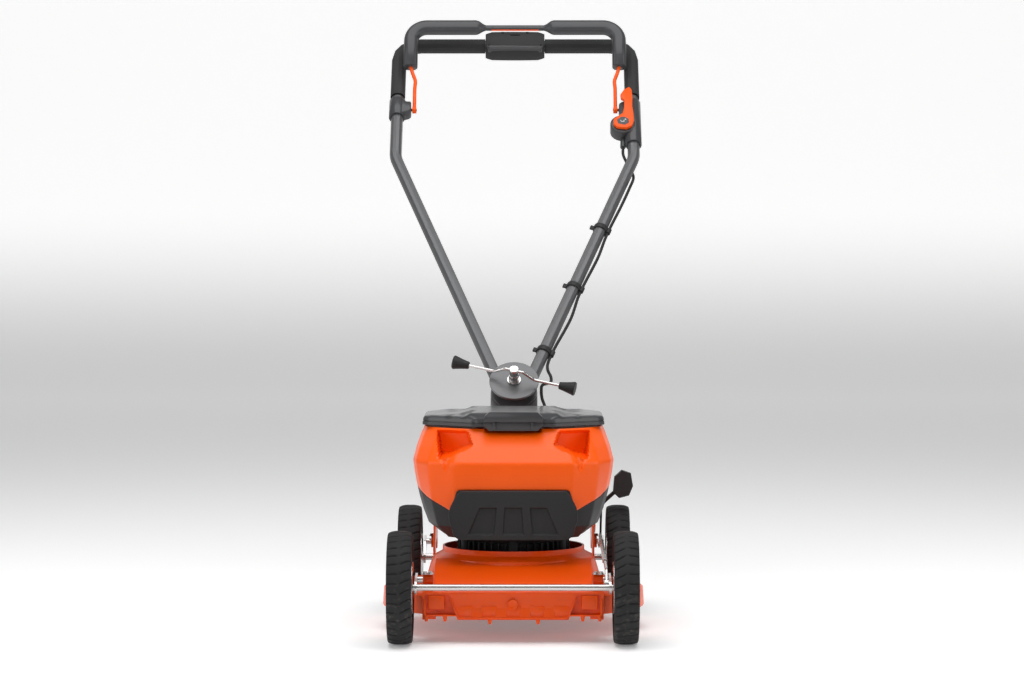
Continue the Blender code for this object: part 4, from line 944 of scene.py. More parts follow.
def depth_inside(outline: Sequence[tuple[float, float]], x: float, z: float) -> float:
    """How far a place lies inside a convex outline that runs anticlockwise; negative outside."""
    nearest = math.inf
    for (ax, az), (bx, bz) in zip(outline, list(outline[1:]) + [outline[0]]):
        length = math.hypot(bx - ax, bz - az)
        nearest = min(nearest, ((bx - ax) * (z - az) - (bz - az) * (x - ax)) / length)
    return nearest


def smooth_share(value: float, low: float, high: float) -> float:
    """Rises smoothly from 0 at low to 1 at high."""
    share = min(1.0, max(0.0, (value - low) / (high - low)))
    return share * share * (3 - 2 * share)


@dataclass
class Body:
    """The orange hood and black skirt as faceted shells.

    Heights are over the ground, and y is measured from the motor's shaft.
    """

    keys: tuple[tuple[float, ...], ...] = (
        (0.1728, 0.1270, -0.1180, 0.1300, 0.088),
        (0.1960, 0.1540, -0.1440, 0.1550, 0.100),
        (0.2220, 0.1636, -0.1500, 0.1680, 0.102),
        (0.2440, 0.1700, -0.1505, 0.1700, 0.104),
        (0.2700, 0.1760, -0.1510, 0.1700, 0.105),
        (0.2900, 0.1798, -0.1510, 0.1700, 0.106),
        (0.3080, 0.1820, -0.1505, 0.1700, 0.106),
        (0.3120, 0.1822, -0.1490, 0.1700, 0.105),
        (0.3350, 0.1765, -0.1290, 0.1700, 0.096),
        (0.3580, 0.1685, -0.1020, 0.1700, 0.086),
        (0.3690, 0.1635, -0.0925, 0.1700, 0.083),
    )
    seam: tuple[tuple[float, float], ...] = ((0.0, 0.262), (0.100, 0.262), (0.114, 0.2235),
                                             (0.156, 0.2475), (0.1765, 0.268))
    columns: int = 240
    rows: int = 44
    wall: float = 0.0024
    seam_gap: float = 0.0005
    pocket: tuple[tuple[float, float], ...] = ((0.0820, 0.3650), (0.0725, 0.3400), (0.1120, 0.3215),
                                               (0.1340, 0.3165), (0.1400, 0.3650))
    pocket_back: float = -0.0830
    pocket_lean: float = 0.55
    known: dict[float, list[tuple[float, float]]] = field(default_factory=dict)

    def build(self, frame: Frame) -> set[str]:
        """Makes the shells and returns the frame nodes that they stand for."""
        self.motor = frame.pivot("cutter_spin")
        seams = [self.seam_height(self.ring(0.245)[column]) for column in range(self.columns)]
        top = self.keys[-1][0]
        bottom = self.keys[0][0]
        self.shell("hood_shell", [s + self.seam_gap for s in seams], [top] * self.columns, ORANGE_SHELL,
                   "hood", True)
        self.shell("skirt_shell", [bottom] * self.columns, seams, BLACK_SHELL, "skirt", False)
        return {"hood", "skirt"}

    def ring(self, height: float) -> list[tuple[float, float]]:
        """The outline at a height, evenly stepped along its sides and starting at the front."""
        half, front, rear, face = along_keys(self.keys, height)
        shoulder = (half + face) / 2
        right = [
            (0.0, front), (face * 0.5, front), (face, front), (shoulder + 0.010, front + 0.030),
            (half - 0.006, front + 0.068),
            (half, front + 0.098), (half, rear - 0.100), (half - 0.004, rear - 0.062),
            (half - 0.034, rear - 0.012),
            (half - 0.062, rear), (0.0, rear),
        ]
        shares = (0.0, 0.105, 0.215, 0.345, 0.435, 0.50, 0.66, 0.72, 0.80, 0.85, 1.0)
        places = []
        for index in range(self.columns // 2 + 1):
            share = index / (self.columns // 2)
            x, y = along_keys([(s, *corner) for s, corner in zip(shares, right)], share)
            places.append((x, y))
        return places + [(-x, y) for x, y in reversed(places[1:-1])]

    def seam_height(self, place: tuple[float, float]) -> float:
        """Where the hood meets the skirt on a column."""
        return along_keys(self.seam, abs(place[0]))[0]

    def relief(self, x: float, y: float, z: float) -> Point:
        """Presses the side pockets and the latch recess into the front."""
        if y > -0.020:
            return x, y, z
        side = abs(x)
        deep = smooth_share(depth_inside(self.pocket, side, z), 0.0, 0.0035)
        back = self.pocket_back + (side - 0.080) * self.pocket_lean
        y = between(y, max(y, back), deep)
        spike = ((0.1330, 0.3170), (0.1120, 0.3190), (0.1190, 0.2900))
        y += 0.0050 * smooth_share(depth_inside(spike, side, z), 0.0, 0.0030)
        recess = ((-0.052, 0.3800), (-0.052, 0.3640), (-0.046, 0.3610), (0.046, 0.3610), (0.052, 0.3640),
                  (0.052, 0.3800))
        y += 0.0120 * smooth_share(depth_inside(recess, x, z), 0.0, 0.0030)
        return x, y, z

    def shell(self, name: str, lows: Sequence[float], tops: Sequence[float], finish: Finish, node: str,
              flange: bool) -> None:
        """Raises a shell column by column between two edges.

        Args:
            name: the piece's name.
            lows: the lower edge's height on each column.
            tops: the upper edge's.
            finish: its finish.
            node: the frame node that it stands for.
            flange: whether its top turns inwards round the battery bay.
        """
        shape = Shape()
        loop = bmesh.ops.create_circle(shape.bm, cap_ends=False, segments=self.columns, radius=0.1)["verts"]
        edges = list(shape.bm.edges)
        for row in range(self.rows + 1):
            if row:
                grown = bmesh.ops.extrude_edge_only(shape.bm, edges=edges)["geom"]
                loop = in_step(loop, [item for item in grown if isinstance(item, bmesh.types.BMVert)])
                edges = [item for item in grown if isinstance(item,
                    bmesh.types.BMEdge) and len(item.link_faces) == 1]
            share = row / self.rows
            for column, vert in enumerate(loop):
                z = between(lows[column], tops[column], share)
                x, y = self.place(z, column)
                x, y, z = self.relief(x, y, z) if flange else (x, y, z)
                vert.co = (x, y + self.motor.y, z)
        if flange:
            grown = bmesh.ops.extrude_edge_only(shape.bm, edges=edges)["geom"]
            loop = in_step(loop, [item for item in grown if isinstance(item, bmesh.types.BMVert)])
            for column, vert in enumerate(loop):
                x, y = self.place(self.keys[-1][0], column)
                vert.co = (x * 0.68, (y - 0.035) * 0.62 + 0.035 + self.motor.y, self.keys[-1][0])
        bmesh.ops.recalc_face_normals(shape.bm, faces=shape.bm.faces)
        self.face_out(shape)
        made = shape.piece(name, finish, "chassis", [node], crease=28.0)
        step = made.modifiers.new("Wall", "SOLIDIFY")
        step.thickness = self.wall
        step.offset = -1.0

    def face_out(self, shape: Shape) -> None:
        """Turns the faces outwards, away from the motor's axis."""
        side = max(shape.bm.faces, key=lambda f: f.calc_center_median().x)
        if side.normal.x < 0:
            bmesh.ops.reverse_faces(shape.bm, faces=shape.bm.faces)

    def place(self, height: float, column: int) -> tuple[float, float]:
        """One column's place at a height, kept for reuse."""
        key = round(height, 5)
        if key not in self.known:
            self.known[key] = self.ring(height)
        return self.known[key][column]


@dataclass
class Lid:
    """The battery lid with its raised middle, its latch, its hinge lugs and the posts they turn on."""

    half: float = 0.1655
    front: float = -0.1000
    rear: float = 0.1655
    columns: int = 200
    rows: tuple[tuple[float, float], ...] = (
        (0.3725, 0.0000), (0.3732, -0.0006), (0.3785, -0.0004), (0.3790, 0.0010), (0.3798, 0.0012),
        (0.3804, 0.0000),
        (0.3850, 0.0006), (0.3880, 0.0022), (0.3898, 0.0056), (0.3906, 0.0100), (0.3908, 0.0180),
        (0.3910, 0.0280),
        (0.3912, 0.0400), (0.3913, 0.0540), (0.3914, 0.0700), (0.3915, 0.0880), (0.3915, 0.1100),
        (0.3915, 0.1300),
    )
    hump: float = 0.0062
    hump_half: float = 0.0760
    wall: float = 0.0022

    def build(self, frame: Frame) -> set[str]:
        """Makes the lid's pieces and returns the frame nodes that they stand for."""
        self.motor = frame.pivot("cutter_spin")
        self.cover()
        self.latch()
        self.posts()
        return {"lid", "lid_latch"}

    def outline(self) -> list[tuple[float, float]]:
        """The lid's foot, evenly stepped and starting at the front."""
        half, front, rear = self.half, self.front, self.rear
        corners = [
            (0.0, front), (0.068, front), (0.074, front + 0.002), (half - 0.008, front + 0.064),
            (half, front + 0.076),
            (half, rear - 0.066), (half - 0.004, rear - 0.054), (half - 0.030, rear - 0.004),
            (half - 0.040, rear), (0.0, rear),
        ]
        shares = (0.0, 0.14, 0.16, 0.38, 0.41, 0.66, 0.69, 0.80, 0.83, 1.0)
        keys = [(s, *corner) for s, corner in zip(shares, corners)]
        right = [along_keys(keys, index / (self.columns // 2)) for index in range(self.columns // 2 + 1)]
        return right + [(-x, y) for x, y in reversed(right[1:-1])]

    def crown(self, x: float, y: float, z: float) -> float:
        """The height of the top, with its raised middle and two grooves."""
        if z < 0.3860:
            return z
        edge = smooth_share(y - self.front, 0.004, 0.022) * smooth_share(self.rear - y, 0.004, 0.022)
        rise = self.hump * (1 - smooth_share(abs(x), self.hump_half, self.hump_half + 0.016)) * edge
        groove = 0.0016 * (1 - smooth_share(abs(abs(x) - 0.118), 0.0010, 0.0028)) * edge
        return z + rise - groove

    def cover(self) -> None:
        """Raises the wall from the foot and draws the top in to the middle."""
        shape = Shape()
        loop = bmesh.ops.create_circle(shape.bm, cap_ends=False, segments=self.columns, radius=0.1)["verts"]
        edges = list(shape.bm.edges)
        middle = (self.front + self.rear) / 2
        foot = self.outline()
        for row, (z, inset) in enumerate(self.rows):
            if row:
                grown = bmesh.ops.extrude_edge_only(shape.bm, edges=edges)["geom"]
                loop = in_step(loop, [item for item in grown if isinstance(item, bmesh.types.BMVert)])
                edges = [item for item in grown if isinstance(item,
                    bmesh.types.BMEdge) and len(item.link_faces) == 1]
            for (x, y), vert in zip(foot, loop):
                near = (x * (1 - inset / 0.1345), middle + (y - middle) * (1 - inset / 0.1345))
                back = min(near[1], self.rear - 0.0045) if 0.056 < abs(near[0]) < 0.073 else near[1]
                vert.co = (near[0], back + self.motor.y, self.crown(near[0], near[1], z))
        bmesh.ops.edgeloop_fill(shape.bm, edges=edges)
        bmesh.ops.recalc_face_normals(shape.bm, faces=shape.bm.faces)
        face_up(shape)
        for side in Side:
            low, high = sorted((side.value * 0.0385, side.value * 0.0575))
            y, z = self.motor.y + 0.1685, 0.3765
            shape.box((low, y - 0.0042, z - 0.0038), (high, y + 0.0034, z + 0.0038), 0.0008)
        made = shape.piece("lid_cover", GREY_SHELL, "lid", ["lid"], crease=30.0)
        step = made.modifiers.new("Wall", "SOLIDIFY")
        step.thickness = self.wall
        step.offset = -1.0

    def latch(self) -> None:
        """The latch: a wide cap over a recessed finger grip with two ribs."""
        y = self.motor.y + self.front
        shape = Shape()
        cap = [(-0.0550, 0.3820), (0.0550, 0.3820), (0.0520, 0.3930), (0.0440, 0.4005), (-0.0440, 0.4005),
               (-0.0520, 0.3930)]
        shape.prism(cap, y - 0.0150, y - 0.0003, Plane.XZ, 0.0022)
        grip = [(-0.0440, 0.3660), (0.0440, 0.3660), (0.0540, 0.3760), (0.0540, 0.3830), (-0.0540, 0.3830),
                (-0.0540, 0.3760)]
        shape.prism(grip, y - 0.0085, y - 0.0004, Plane.XZ, 0.0012)
        for x in (-0.0345, 0.0345):
            shape.box((x - 0.0030, y - 0.0120, 0.3672), (x + 0.0030, y - 0.0080, 0.3822), 0.0008)
        shape.piece("latch_grip", GREY_SHELL, "latch", ["lid_latch"])

    def posts(self) -> None:
        """Two hinge posts on the hood's rear rim."""
        shape = Shape()
        for side in Side:
            low, high = sorted((side.value * 0.0587, side.value * 0.0700))
            y, z = self.motor.y + 0.1688, 0.3765
            shape.box((low, y - 0.0027, 0.3660), (high, y + 0.0027, z + 0.0034), 0.0008)
        shape.piece("hinge_posts", ORANGE_SHELL, "chassis")


def in_step(before: list[bmesh.types.BMVert], after: list[bmesh.types.BMVert]) -> list[bmesh.types.BMVert]:
    """Orders a new loop like the one that it grew from."""
    chosen = set(after)
    return [next(e.other_vert(v) for e in v.link_edges if e.other_vert(v) in chosen) for v in before]


def face_up(shape: Shape) -> None:
    """Turns an open shell so that its top faces up."""
    top = max(shape.bm.faces, key=lambda f: f.calc_center_median().z)
    if top.normal.z < 0:
        bmesh.ops.reverse_faces(shape.bm, faces=shape.bm.faces)


def carved(shape: Shape, cutters: Sequence[Shape]) -> Shape:
    """Cuts shapes out of another.

    Args:
        shape: what is cut.
        cutters: what is taken away.

    Returns:
        The cut shape.
    """
    objects = []
    for number, part in enumerate((shape, *cutters)):
        mesh = bpy.data.meshes.new(f"carving_{number}")
        part.bm.to_mesh(mesh)
        part.bm.free()
        obj = bpy.data.objects.new(f"carving_{number}", mesh)
        bpy.context.scene.collection.objects.link(obj)
        objects.append(obj)
    for cutter in objects[1:]:
        step = objects[0].modifiers.new("Cut", "BOOLEAN")
        step.operation = "DIFFERENCE"
        step.object = cutter
    bpy.context.view_layer.update()
    result = bpy.data.meshes.new_from_object(objects[0].evaluated_get(bpy.context.evaluated_depsgraph_get()))
    cut = Shape()
    cut.bm.from_mesh(result)
    for obj in objects:
        bpy.data.objects.remove(obj)
    return cut


# ---------------------------------------------------------------- deck


@dataclass
class Deck:
    """The deck with its front lip: a tapered middle panel, set-back sides with boxes, notches and teeth."""

    face_y: float = -0.2520
    top_half: float = 0.1130
    foot_half: float = 0.0960
    lip_top: float = 0.0880
    lip_foot: float = 0.0440
    side_half: float = 0.1570
    set_back: float = 0.0140
    sheet: float = 0.0026
    bracket_bolt: tuple[float, float] = (0.1350, 0.1860)
    notches: tuple[float, ...] = (-0.0850, -0.0425, 0.0, 0.0425, 0.0850)
    teeth: tuple[float, ...] = (-0.1530, -0.1200, -0.0410, 0.0440, 0.1230, 0.1530)

    def build(self, frame: Frame) -> set[str]:
        """Makes the deck and its trim, and returns the frame nodes that they stand for."""
        self.y = frame.pivot("cutter_spin").y + self.face_y
        self.shell()
        self.lip()
        self.bolts(frame)
        return {"deck"}

    def shell(self) -> None:
        """The frame's deck with its front corners opened for the set-back sides."""
        deck = Shape.of_node("deck")
        cutters = []
        for side in Side:
            cutter = Shape()
            near = [(self.top_half, self.lip_top - 0.002), (self.foot_half - 0.002, 0.030)]
            far = [(self.side_half - 0.002, 0.030), (self.side_half - 0.002, self.lip_top - 0.002)]
            outline = [(side.value * x, z) for x, z in near + far]
            cutter.prism(outline, self.y - 0.020, self.y + self.set_back - 0.004, Plane.XZ)
            cutters.append(cutter)
        made = carved(deck, cutters).piece("deck_shell", ORANGE_STEEL, "chassis", ["deck"], crease=24.0)
        soft_edges(made, 0.0010)

    def lip(self) -> None:
        """Backs the notches, closes the set-back sides, and adds flanges and teeth."""
        shape = Shape()
        y = self.y
        for x in self.notches:
            shape.box((x - 0.0135, y + 0.0030, 0.0450), (x + 0.0135, y + 0.0052, 0.0660), 0.0006)
        for side in Side:
            sign = side.value
            wall = [(sign * a, b) for a, b in ((self.foot_half, 0.0500), (self.side_half, 0.0500),
                                               (self.side_half, 0.0890), (self.top_half, 0.0890))]
            shape.prism(wall, y + self.set_back, y + self.set_back + self.sheet, Plane.XZ)
            edge = [(sign * a, b) for a, b in ((self.foot_half - 0.001, 0.0440),
                                               (self.foot_half + 0.002, 0.0440),
                                               (self.top_half - 0.001, 0.0790),
                                               (self.top_half - 0.004, 0.0790))]
            shape.prism(edge, y + 0.0004, y + self.set_back + 0.001, Plane.XZ, 0.0008)
            low, high = sorted((sign * (self.foot_half + 0.002), sign * self.side_half))
            shape.box((low, y + 0.0010, 0.0480), (high, y + self.set_back + 0.001, 0.0506), 0.0008)
            low, high = sorted((sign * 0.1210, sign * 0.1500))
            shape.box((low, y + 0.0035, 0.0600), (high, y + self.set_back + 0.001, 0.0850), 0.0015, 3)
            low, high = sorted((sign * (self.side_half - 0.0030), sign * (self.side_half + 0.0010)))
            shape.box((low, y + 0.0004, 0.0440), (high, y + self.set_back + 0.002, 0.0790), 0.0008)
        for x in self.teeth:
            root = self.lip_foot if abs(x) < self.foot_half else 0.0490
            tooth = [(x - 0.0048, root + 0.002), (x - 0.0024, root - 0.0100), (x + 0.0024, root - 0.0100),
                     (x + 0.0048, root + 0.002)]
            shape.prism(tooth, y + 0.0004, y + 0.0034, Plane.XZ, 0.0006)
        shape.box((-self.foot_half, y - 0.0012, 0.0432), (self.foot_half, y + 0.0028, 0.0462), 0.0008)
        boss = [(0.0, -0.0004), (0.0092, -0.0004), (0.0092, 0.0006), (0.0084, 0.0013), (0.0070, 0.0006),
                (0.0, 0.0004)]
        shape.turned(boss, (0.0, y, 0.0690), (0, -1, 0), 64)
        shape.piece("deck_lip", ORANGE_STEEL, "chassis", crease=35.0)

    def bolts(self, frame: Frame) -> None:
        """Plated bolts on the axle clamps and the rear bracket."""
        shape = Shape()
        for end in End:
            for side in Side:
                node = f"{end.value}_clamp_{side.word}"
                low, high = frame.low(node), frame.high(node)
                for share in (0.22, 0.78):
                    spot = Vector((between(low.x, high.x, share), low.y + 0.0075, high.z - 0.0010))
                    hex_bolt(shape, spot, Vector((0, 0, 1)), 0.0042)
        y = frame.middle("rear_bracket").y
        for side in Side:
            hex_bolt(shape, Vector((side.value * self.bracket_bolt[0], y, self.bracket_bolt[1])),
                     Vector((0, 0, 1)), 0.0055)
        shape.piece("deck_bolts", ZINC, "chassis", crease=30.0)


def hex_bolt(shape: Shape, foot: Vector, out: Vector, radius: float) -> None:
    """Adds a washer and a hexagon head that stand out from a surface."""
    shape.cylinder(foot, foot + out * 0.0010, radius * 1.45, segments=32)
    shape.cylinder(foot + out * 0.0009, foot + out * (0.0009 + radius * 0.9), radius * 1.08, segments=6,
                   rounding=0.0003)
    shape.cylinder(foot + out * 0.0010, foot + out * (0.0014 + radius * 0.9), radius * 0.55, segments=24)


# ---------------------------------------------------------------- motor ring and front cover


@dataclass
class MotorRing:
    """The black ring between deck and body, with posts and cooling ribs, and the ribbed front cover."""

    radius: float = 0.1060
    low: float = 0.1260
    top: float = 0.1722
    posts: int = 6
    ribs: int = 48

    def build(self, frame: Frame) -> set[str]:
        """Makes the ring and returns the frame node that it stands for."""
        motor = frame.pivot("cutter_spin")
        centre = Vector((motor.x, motor.y, 0.0))
        shape = Shape()
        low, top = self.low, self.top
        inner = 0.0640
        shape.turned(
            [
                (inner, low), (self.radius - 0.014, low), (self.radius - 0.010, low + 0.004),
                (self.radius - 0.010, top - 0.012),
                (self.radius, top - 0.008), (self.radius + 0.008, top - 0.004), (self.radius + 0.008, top),
                (inner, top),
            ],
            centre, (0, 0, 1), 96,
        )
        for index in range(self.ribs):
            turn = math.tau * index / self.ribs
            rib = shape.box((self.radius - 0.012, -0.0011, low + 0.004),
                            (self.radius - 0.0035, 0.0011, top - 0.008), 0.0005)
            shape.move(rib, Matrix.Translation(centre) @ Matrix.Rotation(turn, 4, "Z"))
        for index in range(self.posts):
            turn = math.tau * (index + 0.5) / self.posts
            spot = centre + Vector((math.cos(turn) * 0.1000, math.sin(turn) * 0.1000, 0.0))
            shape.cylinder(spot + Vector((0, 0, 0.118)), spot + Vector((0, 0, top - 0.002)), 0.0095,
                           0.0085, 32, 0.0010)
        shape.piece("motor_ring", BLACK_SHELL, "chassis", ["motor_mount"], crease=35.0)
        base = Shape()
        base.turned([(0.0300, 0.1180), (0.1190, 0.1180), (0.1190, 0.1215), (0.0300, 0.1215)], centre,
                    (0, 0, 1), 96)
        base.piece("motor_base_plate", BLACK_SHELL, "chassis", crease=35.0)
        self.front_cover(motor)
        return {"motor_mount", "front_cover"}

    def front_cover(self, motor: Vector) -> None:
        """A bowed cover with three tapered pockets and rounded shoulders."""
        y = motor.y - 0.1523
        outline = [
            (-0.0970, 0.1740), (0.0970, 0.1740), (0.1060, 0.1800), (0.1140, 0.2050), (0.1160, 0.2200),
            (0.1130, 0.2330),
            (0.1010, 0.2560), (0.0930, 0.2615), (-0.0930, 0.2615), (-0.1010, 0.2560), (-0.1130, 0.2330),
            (-0.1160, 0.2200),
            (-0.1140, 0.2050), (-0.1060, 0.1800),
        ]
        cover = Shape()
        cover.prism(outline, y - 0.0090, y, Plane.XZ)
        pockets = []
        for low_in, low_out, high_in, high_out in ((-0.0180, 0.0180, -0.0150, 0.0150),
                                                   (0.0350, 0.0800, 0.0300, 0.0600),
                                                   (-0.0800, -0.0350, -0.0600, -0.0300)):
            pocket = Shape()
            corners = [(low_in, 0.1840), (low_out, 0.1840), (high_out, 0.2310), (high_in, 0.2310)]
            pocket.prism(corners, y - 0.0200, y - 0.0045, Plane.XZ)
            pockets.append(pocket)
        made = carved(cover, pockets).piece("front_cover_moulded", BLACK_SHELL, "chassis", ["front_cover"],
                                            crease=25.0)
        soft_edges(made, 0.0022, 4, 20.0)


# ---------------------------------------------------------------- handle


def rounded_route(corners: Sequence[Point], radius: float, steps: int = 8) -> list[Vector]:
    """Turns each inner corner of a line into an arc.

    Args:
        corners: the line's corners.
        radius: the bend's radius.
        steps: how many points each bend has.

    Returns:
        The rounded line.
    """
    points = [Vector(c) for c in corners]
    line = [points[0]]
    for before, corner, after in zip(points, points[1:], points[2:]):
        inward, outward = (before - corner).normalized(), (after - corner).normalized()
        half = inward.angle(outward) / 2
        if half > math.pi / 2 - 0.02:
            line.append(corner)
            continue
        reach = min(radius / math.tan(half), (before - corner).length * 0.49, (after - corner).length * 0.49)
        centre = corner + (inward + outward).normalized() * reach / math.cos(half)
        first, last = corner + inward * reach - centre, corner + outward * reach - centre
        line += [centre + first.slerp(last,
                                      step / steps).normalized() * first.length for step in range(steps + 1)]
    return line + [points[-1]]


def sleeve(shape: Shape, route: Sequence[Vector], sizes: Sequence[tuple[float, float]], flat: Vector,
           power: float = 2.0) -> None:
    """Adds a closed sleeve along a line.

    Args:
        shape: where it is added.
        route: the line.
        sizes: for each point, half the width in the line's plane and half the height along `flat`.
        flat: the direction that stands across the line all the way.
        power: 2 for an ellipse, more for a rounded rectangle.
    """
    sides = 28
    rings = []
    for index, (place, (wide, tall)) in enumerate(zip(route, sizes)):
        along = (route[min(index + 1, len(route) - 1)] - route[max(index - 1, 0)]).normalized()
        across = along.cross(flat).normalized()
        ring = []
        for step in range(sides):
            turn = math.tau * step / sides
            c, s = math.cos(turn), math.sin(turn)
            c, s = math.copysign(abs(c) ** (2 / power), c), math.copysign(abs(s) ** (2 / power), s)
            ring.append(shape.bm.verts.new(place + across * wide * c + flat * tall * s))
        rings.append(ring)
    for near, far in zip(rings, rings[1:]):
        for step in range(sides):
            shape.bm.faces.new((near[step], near[(step + 1) % sides], far[(step + 1) % sides], far[step]))
    shape.bm.faces.new(rings[0])
    shape.bm.faces.new(list(reversed(rings[-1])))
    bmesh.ops.recalc_face_normals(shape.bm, faces=shape.bm.faces)


@dataclass
class Bail:
    """The bail: a coated orange wire on two pivots, its two soft covers and the strap between them."""

    pivot_along: float = 0.775
    released: float = math.radians(17.0)
    arm_x: float = 0.2095
    cover_x: float = 0.2190
    reach: float = 0.2000
    wire: float = 0.0038
    cover_foot: float = 0.1030
    wide: float = 0.0148
    tall: float = 0.0138
    taper_from: float = 0.0820
    taper_to: float = 0.0610

    def build(self, frame: Frame) -> set[str]:
        """Makes the wire, the covers and the strap, and returns the frame nodes that they stand for."""
        turn = Matrix.Rotation(self.released, 4, "X")
        self.place = frame.handle_matrix() @ Matrix.Translation((0, self.pivot_along, 0)) @ turn
        self.frame_wire()
        for side in Side:
            self.cover(side)
        self.strap()
        return {"bail_frame", "bail_cover_left", "bail_cover_right"}

    def frame_wire(self) -> None:
        """The wire, flattened to an eye at each pivot."""
        right = [
            (self.arm_x, 0.005, 0.0), (self.arm_x, 0.052, 0.0), (self.arm_x - 0.0015, 0.070, 0.0),
            (self.cover_x - 0.004, 0.090, 0.0), (self.cover_x, 0.106, 0.0), (self.cover_x, self.reach, 0.0),
        ]
        corners = right + [(-x, y, z) for x, y, z in reversed(right)]
        route = rounded_route(corners, 0.026, 9)
        shape = Shape()
        sleeve(shape, route, [(self.wire, self.wire)] * len(route), Vector((0, 0, 1)))
        for side in Side:
            x = side.value * self.arm_x
            shape.cylinder((x - 0.0043, 0, 0), (x + 0.0043, 0, 0), 0.0072, segments=40, rounding=0.0006)
        shape.move(list(shape.bm.verts), self.place)
        shape.piece("bail_wire", ORANGE_LEVER, "bail", ["bail_frame"], crease=40.0)

    def cover(self, side: Side) -> None:
        """A soft cover round one corner, drawn in where it meets the strap."""
        sign = side.value
        corners = [
            (sign * self.cover_x, self.cover_foot, 0), (sign * self.cover_x, self.reach, 0),
            (sign * self.taper_to, self.reach, 0),
        ]
        route = rounded_route(corners, 0.034, 16)
        last = route.pop()
        bend_end = abs(route[-1].x)
        stations = [bend_end - 0.010, 0.120, 0.092, self.taper_from, 0.0770, 0.0720, 0.0670, self.taper_to]
        route += [Vector((sign * x, self.reach + self.rise(x), last.z)) for x in stations]
        sizes = []
        for point in route:
            share = smooth_share(abs(point.x), self.taper_to - 0.001,
                                 self.taper_from) if point.y > self.reach - 0.02 else 1.0
            sizes.append((between(0.0054, self.wide, share), between(0.0052, self.tall, share)))
        sizes[0] = (self.wide - 0.0012, self.tall - 0.0012)
        route.insert(1, route[0] + Vector((0, 0.0014, 0)))
        sizes.insert(1, (self.wide, self.tall))
        shape = Shape()
        sleeve(shape, route, sizes, Vector((0, 0, 1)), 2.7)
        shape.move(list(shape.bm.verts), self.place)
        shape.piece(f"bail_sleeve_{side.word}", GREY_SHELL, "bail", [f"bail_cover_{side.word}"], crease=50.0)

    def rise(self, x: float) -> float:
        """How far the strap's line stands from the covers' line."""
        return -0.0010 * (1 - smooth_share(x, self.taper_to, self.taper_from))

    def strap(self) -> None:
        """The dark strip between the two covers."""
        count = 17
        xs = [between(-self.taper_to, self.taper_to, step / (count - 1)) for step in range(count)]
        route = [Vector((x, self.reach - 0.0010, 0.0)) for x in xs]
        shape = Shape()
        sleeve(shape, route, [(0.0054, 0.0052)] * count, Vector((0, 0, 1)), 3.0)
        shape.move(list(shape.bm.verts), self.place)
        shape.piece("bail_strap", GREY_SHELL, "bail")
        line = Shape()
        line.box((-0.0500, self.reach - 0.0072, -0.0016), (0.0500, self.reach - 0.0062, 0.0024), 0.0003)
        line.move(list(line.bm.verts), self.place)
        line.piece("bail_line", ORANGE_LEVER, "bail")


@dataclass
class Panel:
    """The control panel: a rounded body, a lighter lower band, a cap behind and the dark start button."""

    along: float = 0.9720
    half: float = 0.0625
    sections: int = 19

    def build(self, frame: Frame) -> set[str]:
        """Makes the panel and the button, and returns the frame nodes that they stand for."""
        place = frame.handle_matrix() @ Matrix.Translation((0, self.along, 0))
        shape = Shape()
        route, sizes = [], []
        for index in range(self.sections):
            x = between(-self.half, self.half, index / (self.sections - 1))
            share = abs(x) / self.half
            drop = 0.0050 * smooth_share(share, 0.80, 1.0)
            route.append(Vector((x, 0.0008, 0.0)))
            sizes.append((0.0300 + 0.0016 * (1 - share * share) - drop, 0.0195 - drop * 0.4))
        sleeve(shape, route, sizes, Vector((0, 0, 1)), 4.2)
        shape.move(list(shape.bm.verts), place)
        shape.piece("panel_body", BLACK_SHELL, "handle", ["control_panel"], crease=45.0)
        self.trim(place)
        button = Shape()
        button.box((-0.0105, 0.0130, 0.0188), (0.0105, 0.0165, 0.0204), 0.0006)
        button.move(list(button.bm.verts), place)
        button.piece("start_pad", BLACK_DEEP, "start_button", ["start_button"])
        return {"control_panel", "start_button"}

    def trim(self, place: Matrix) -> None:
        """The lighter lower band, the cap behind, and near-black boxes painted where the notches hold shade.
        """
        band = Shape()
        band.prism([(-0.0560, -0.0285), (0.0560, -0.0285), (0.0600, -0.0200), (0.0600, -0.0180),
                    (-0.0600, -0.0180), (-0.0600, -0.0200)],
                   0.0080, 0.0203, Plane.XY, 0.0012)
        band.move(list(band.bm.verts), place)
        band.piece("panel_band", GREY_SHELL, "handle")
        cap = Shape()
        cap.turned([(0.0, -0.0180), (0.0400, -0.0180), (0.0430, -0.0140), (0.0430, -0.0060),
                    (0.0410, -0.0030), (0.0, -0.0030)],
                   (0, 0, 0), (0, 0, 1), 64)
        cap.move(list(cap.bm.verts), place @ Matrix.Translation((0, 0.0300, 0)) @ Matrix.Diagonal((1.0,
            0.42, 1.0, 1.0)))
        cap.piece("panel_cap", GREY_SHELL, "handle", crease=35.0)
        # Painted shade: near-black boxes stand where the panel's notches fall into shadow.
        notch_shade = Shape()
        for side in Side:
            x = side.value
            for low, high in (((x * 0.0235, 0.0215, 0.0185), (x * 0.0290, 0.0240, 0.0203)),
                              ((x * 0.0530, -0.0200, 0.0150), (x * 0.0575, -0.0165, 0.0206))):
                corners = [sorted(pair) for pair in zip(low, high)]
                notch_shade.box([pair[0] for pair in corners], [pair[1] for pair in corners], 0.0004)
        notch_shade.move(list(notch_shade.bm.verts), place)
        notch_shade.piece("panel_marks", BLACK_DEEP, "handle")


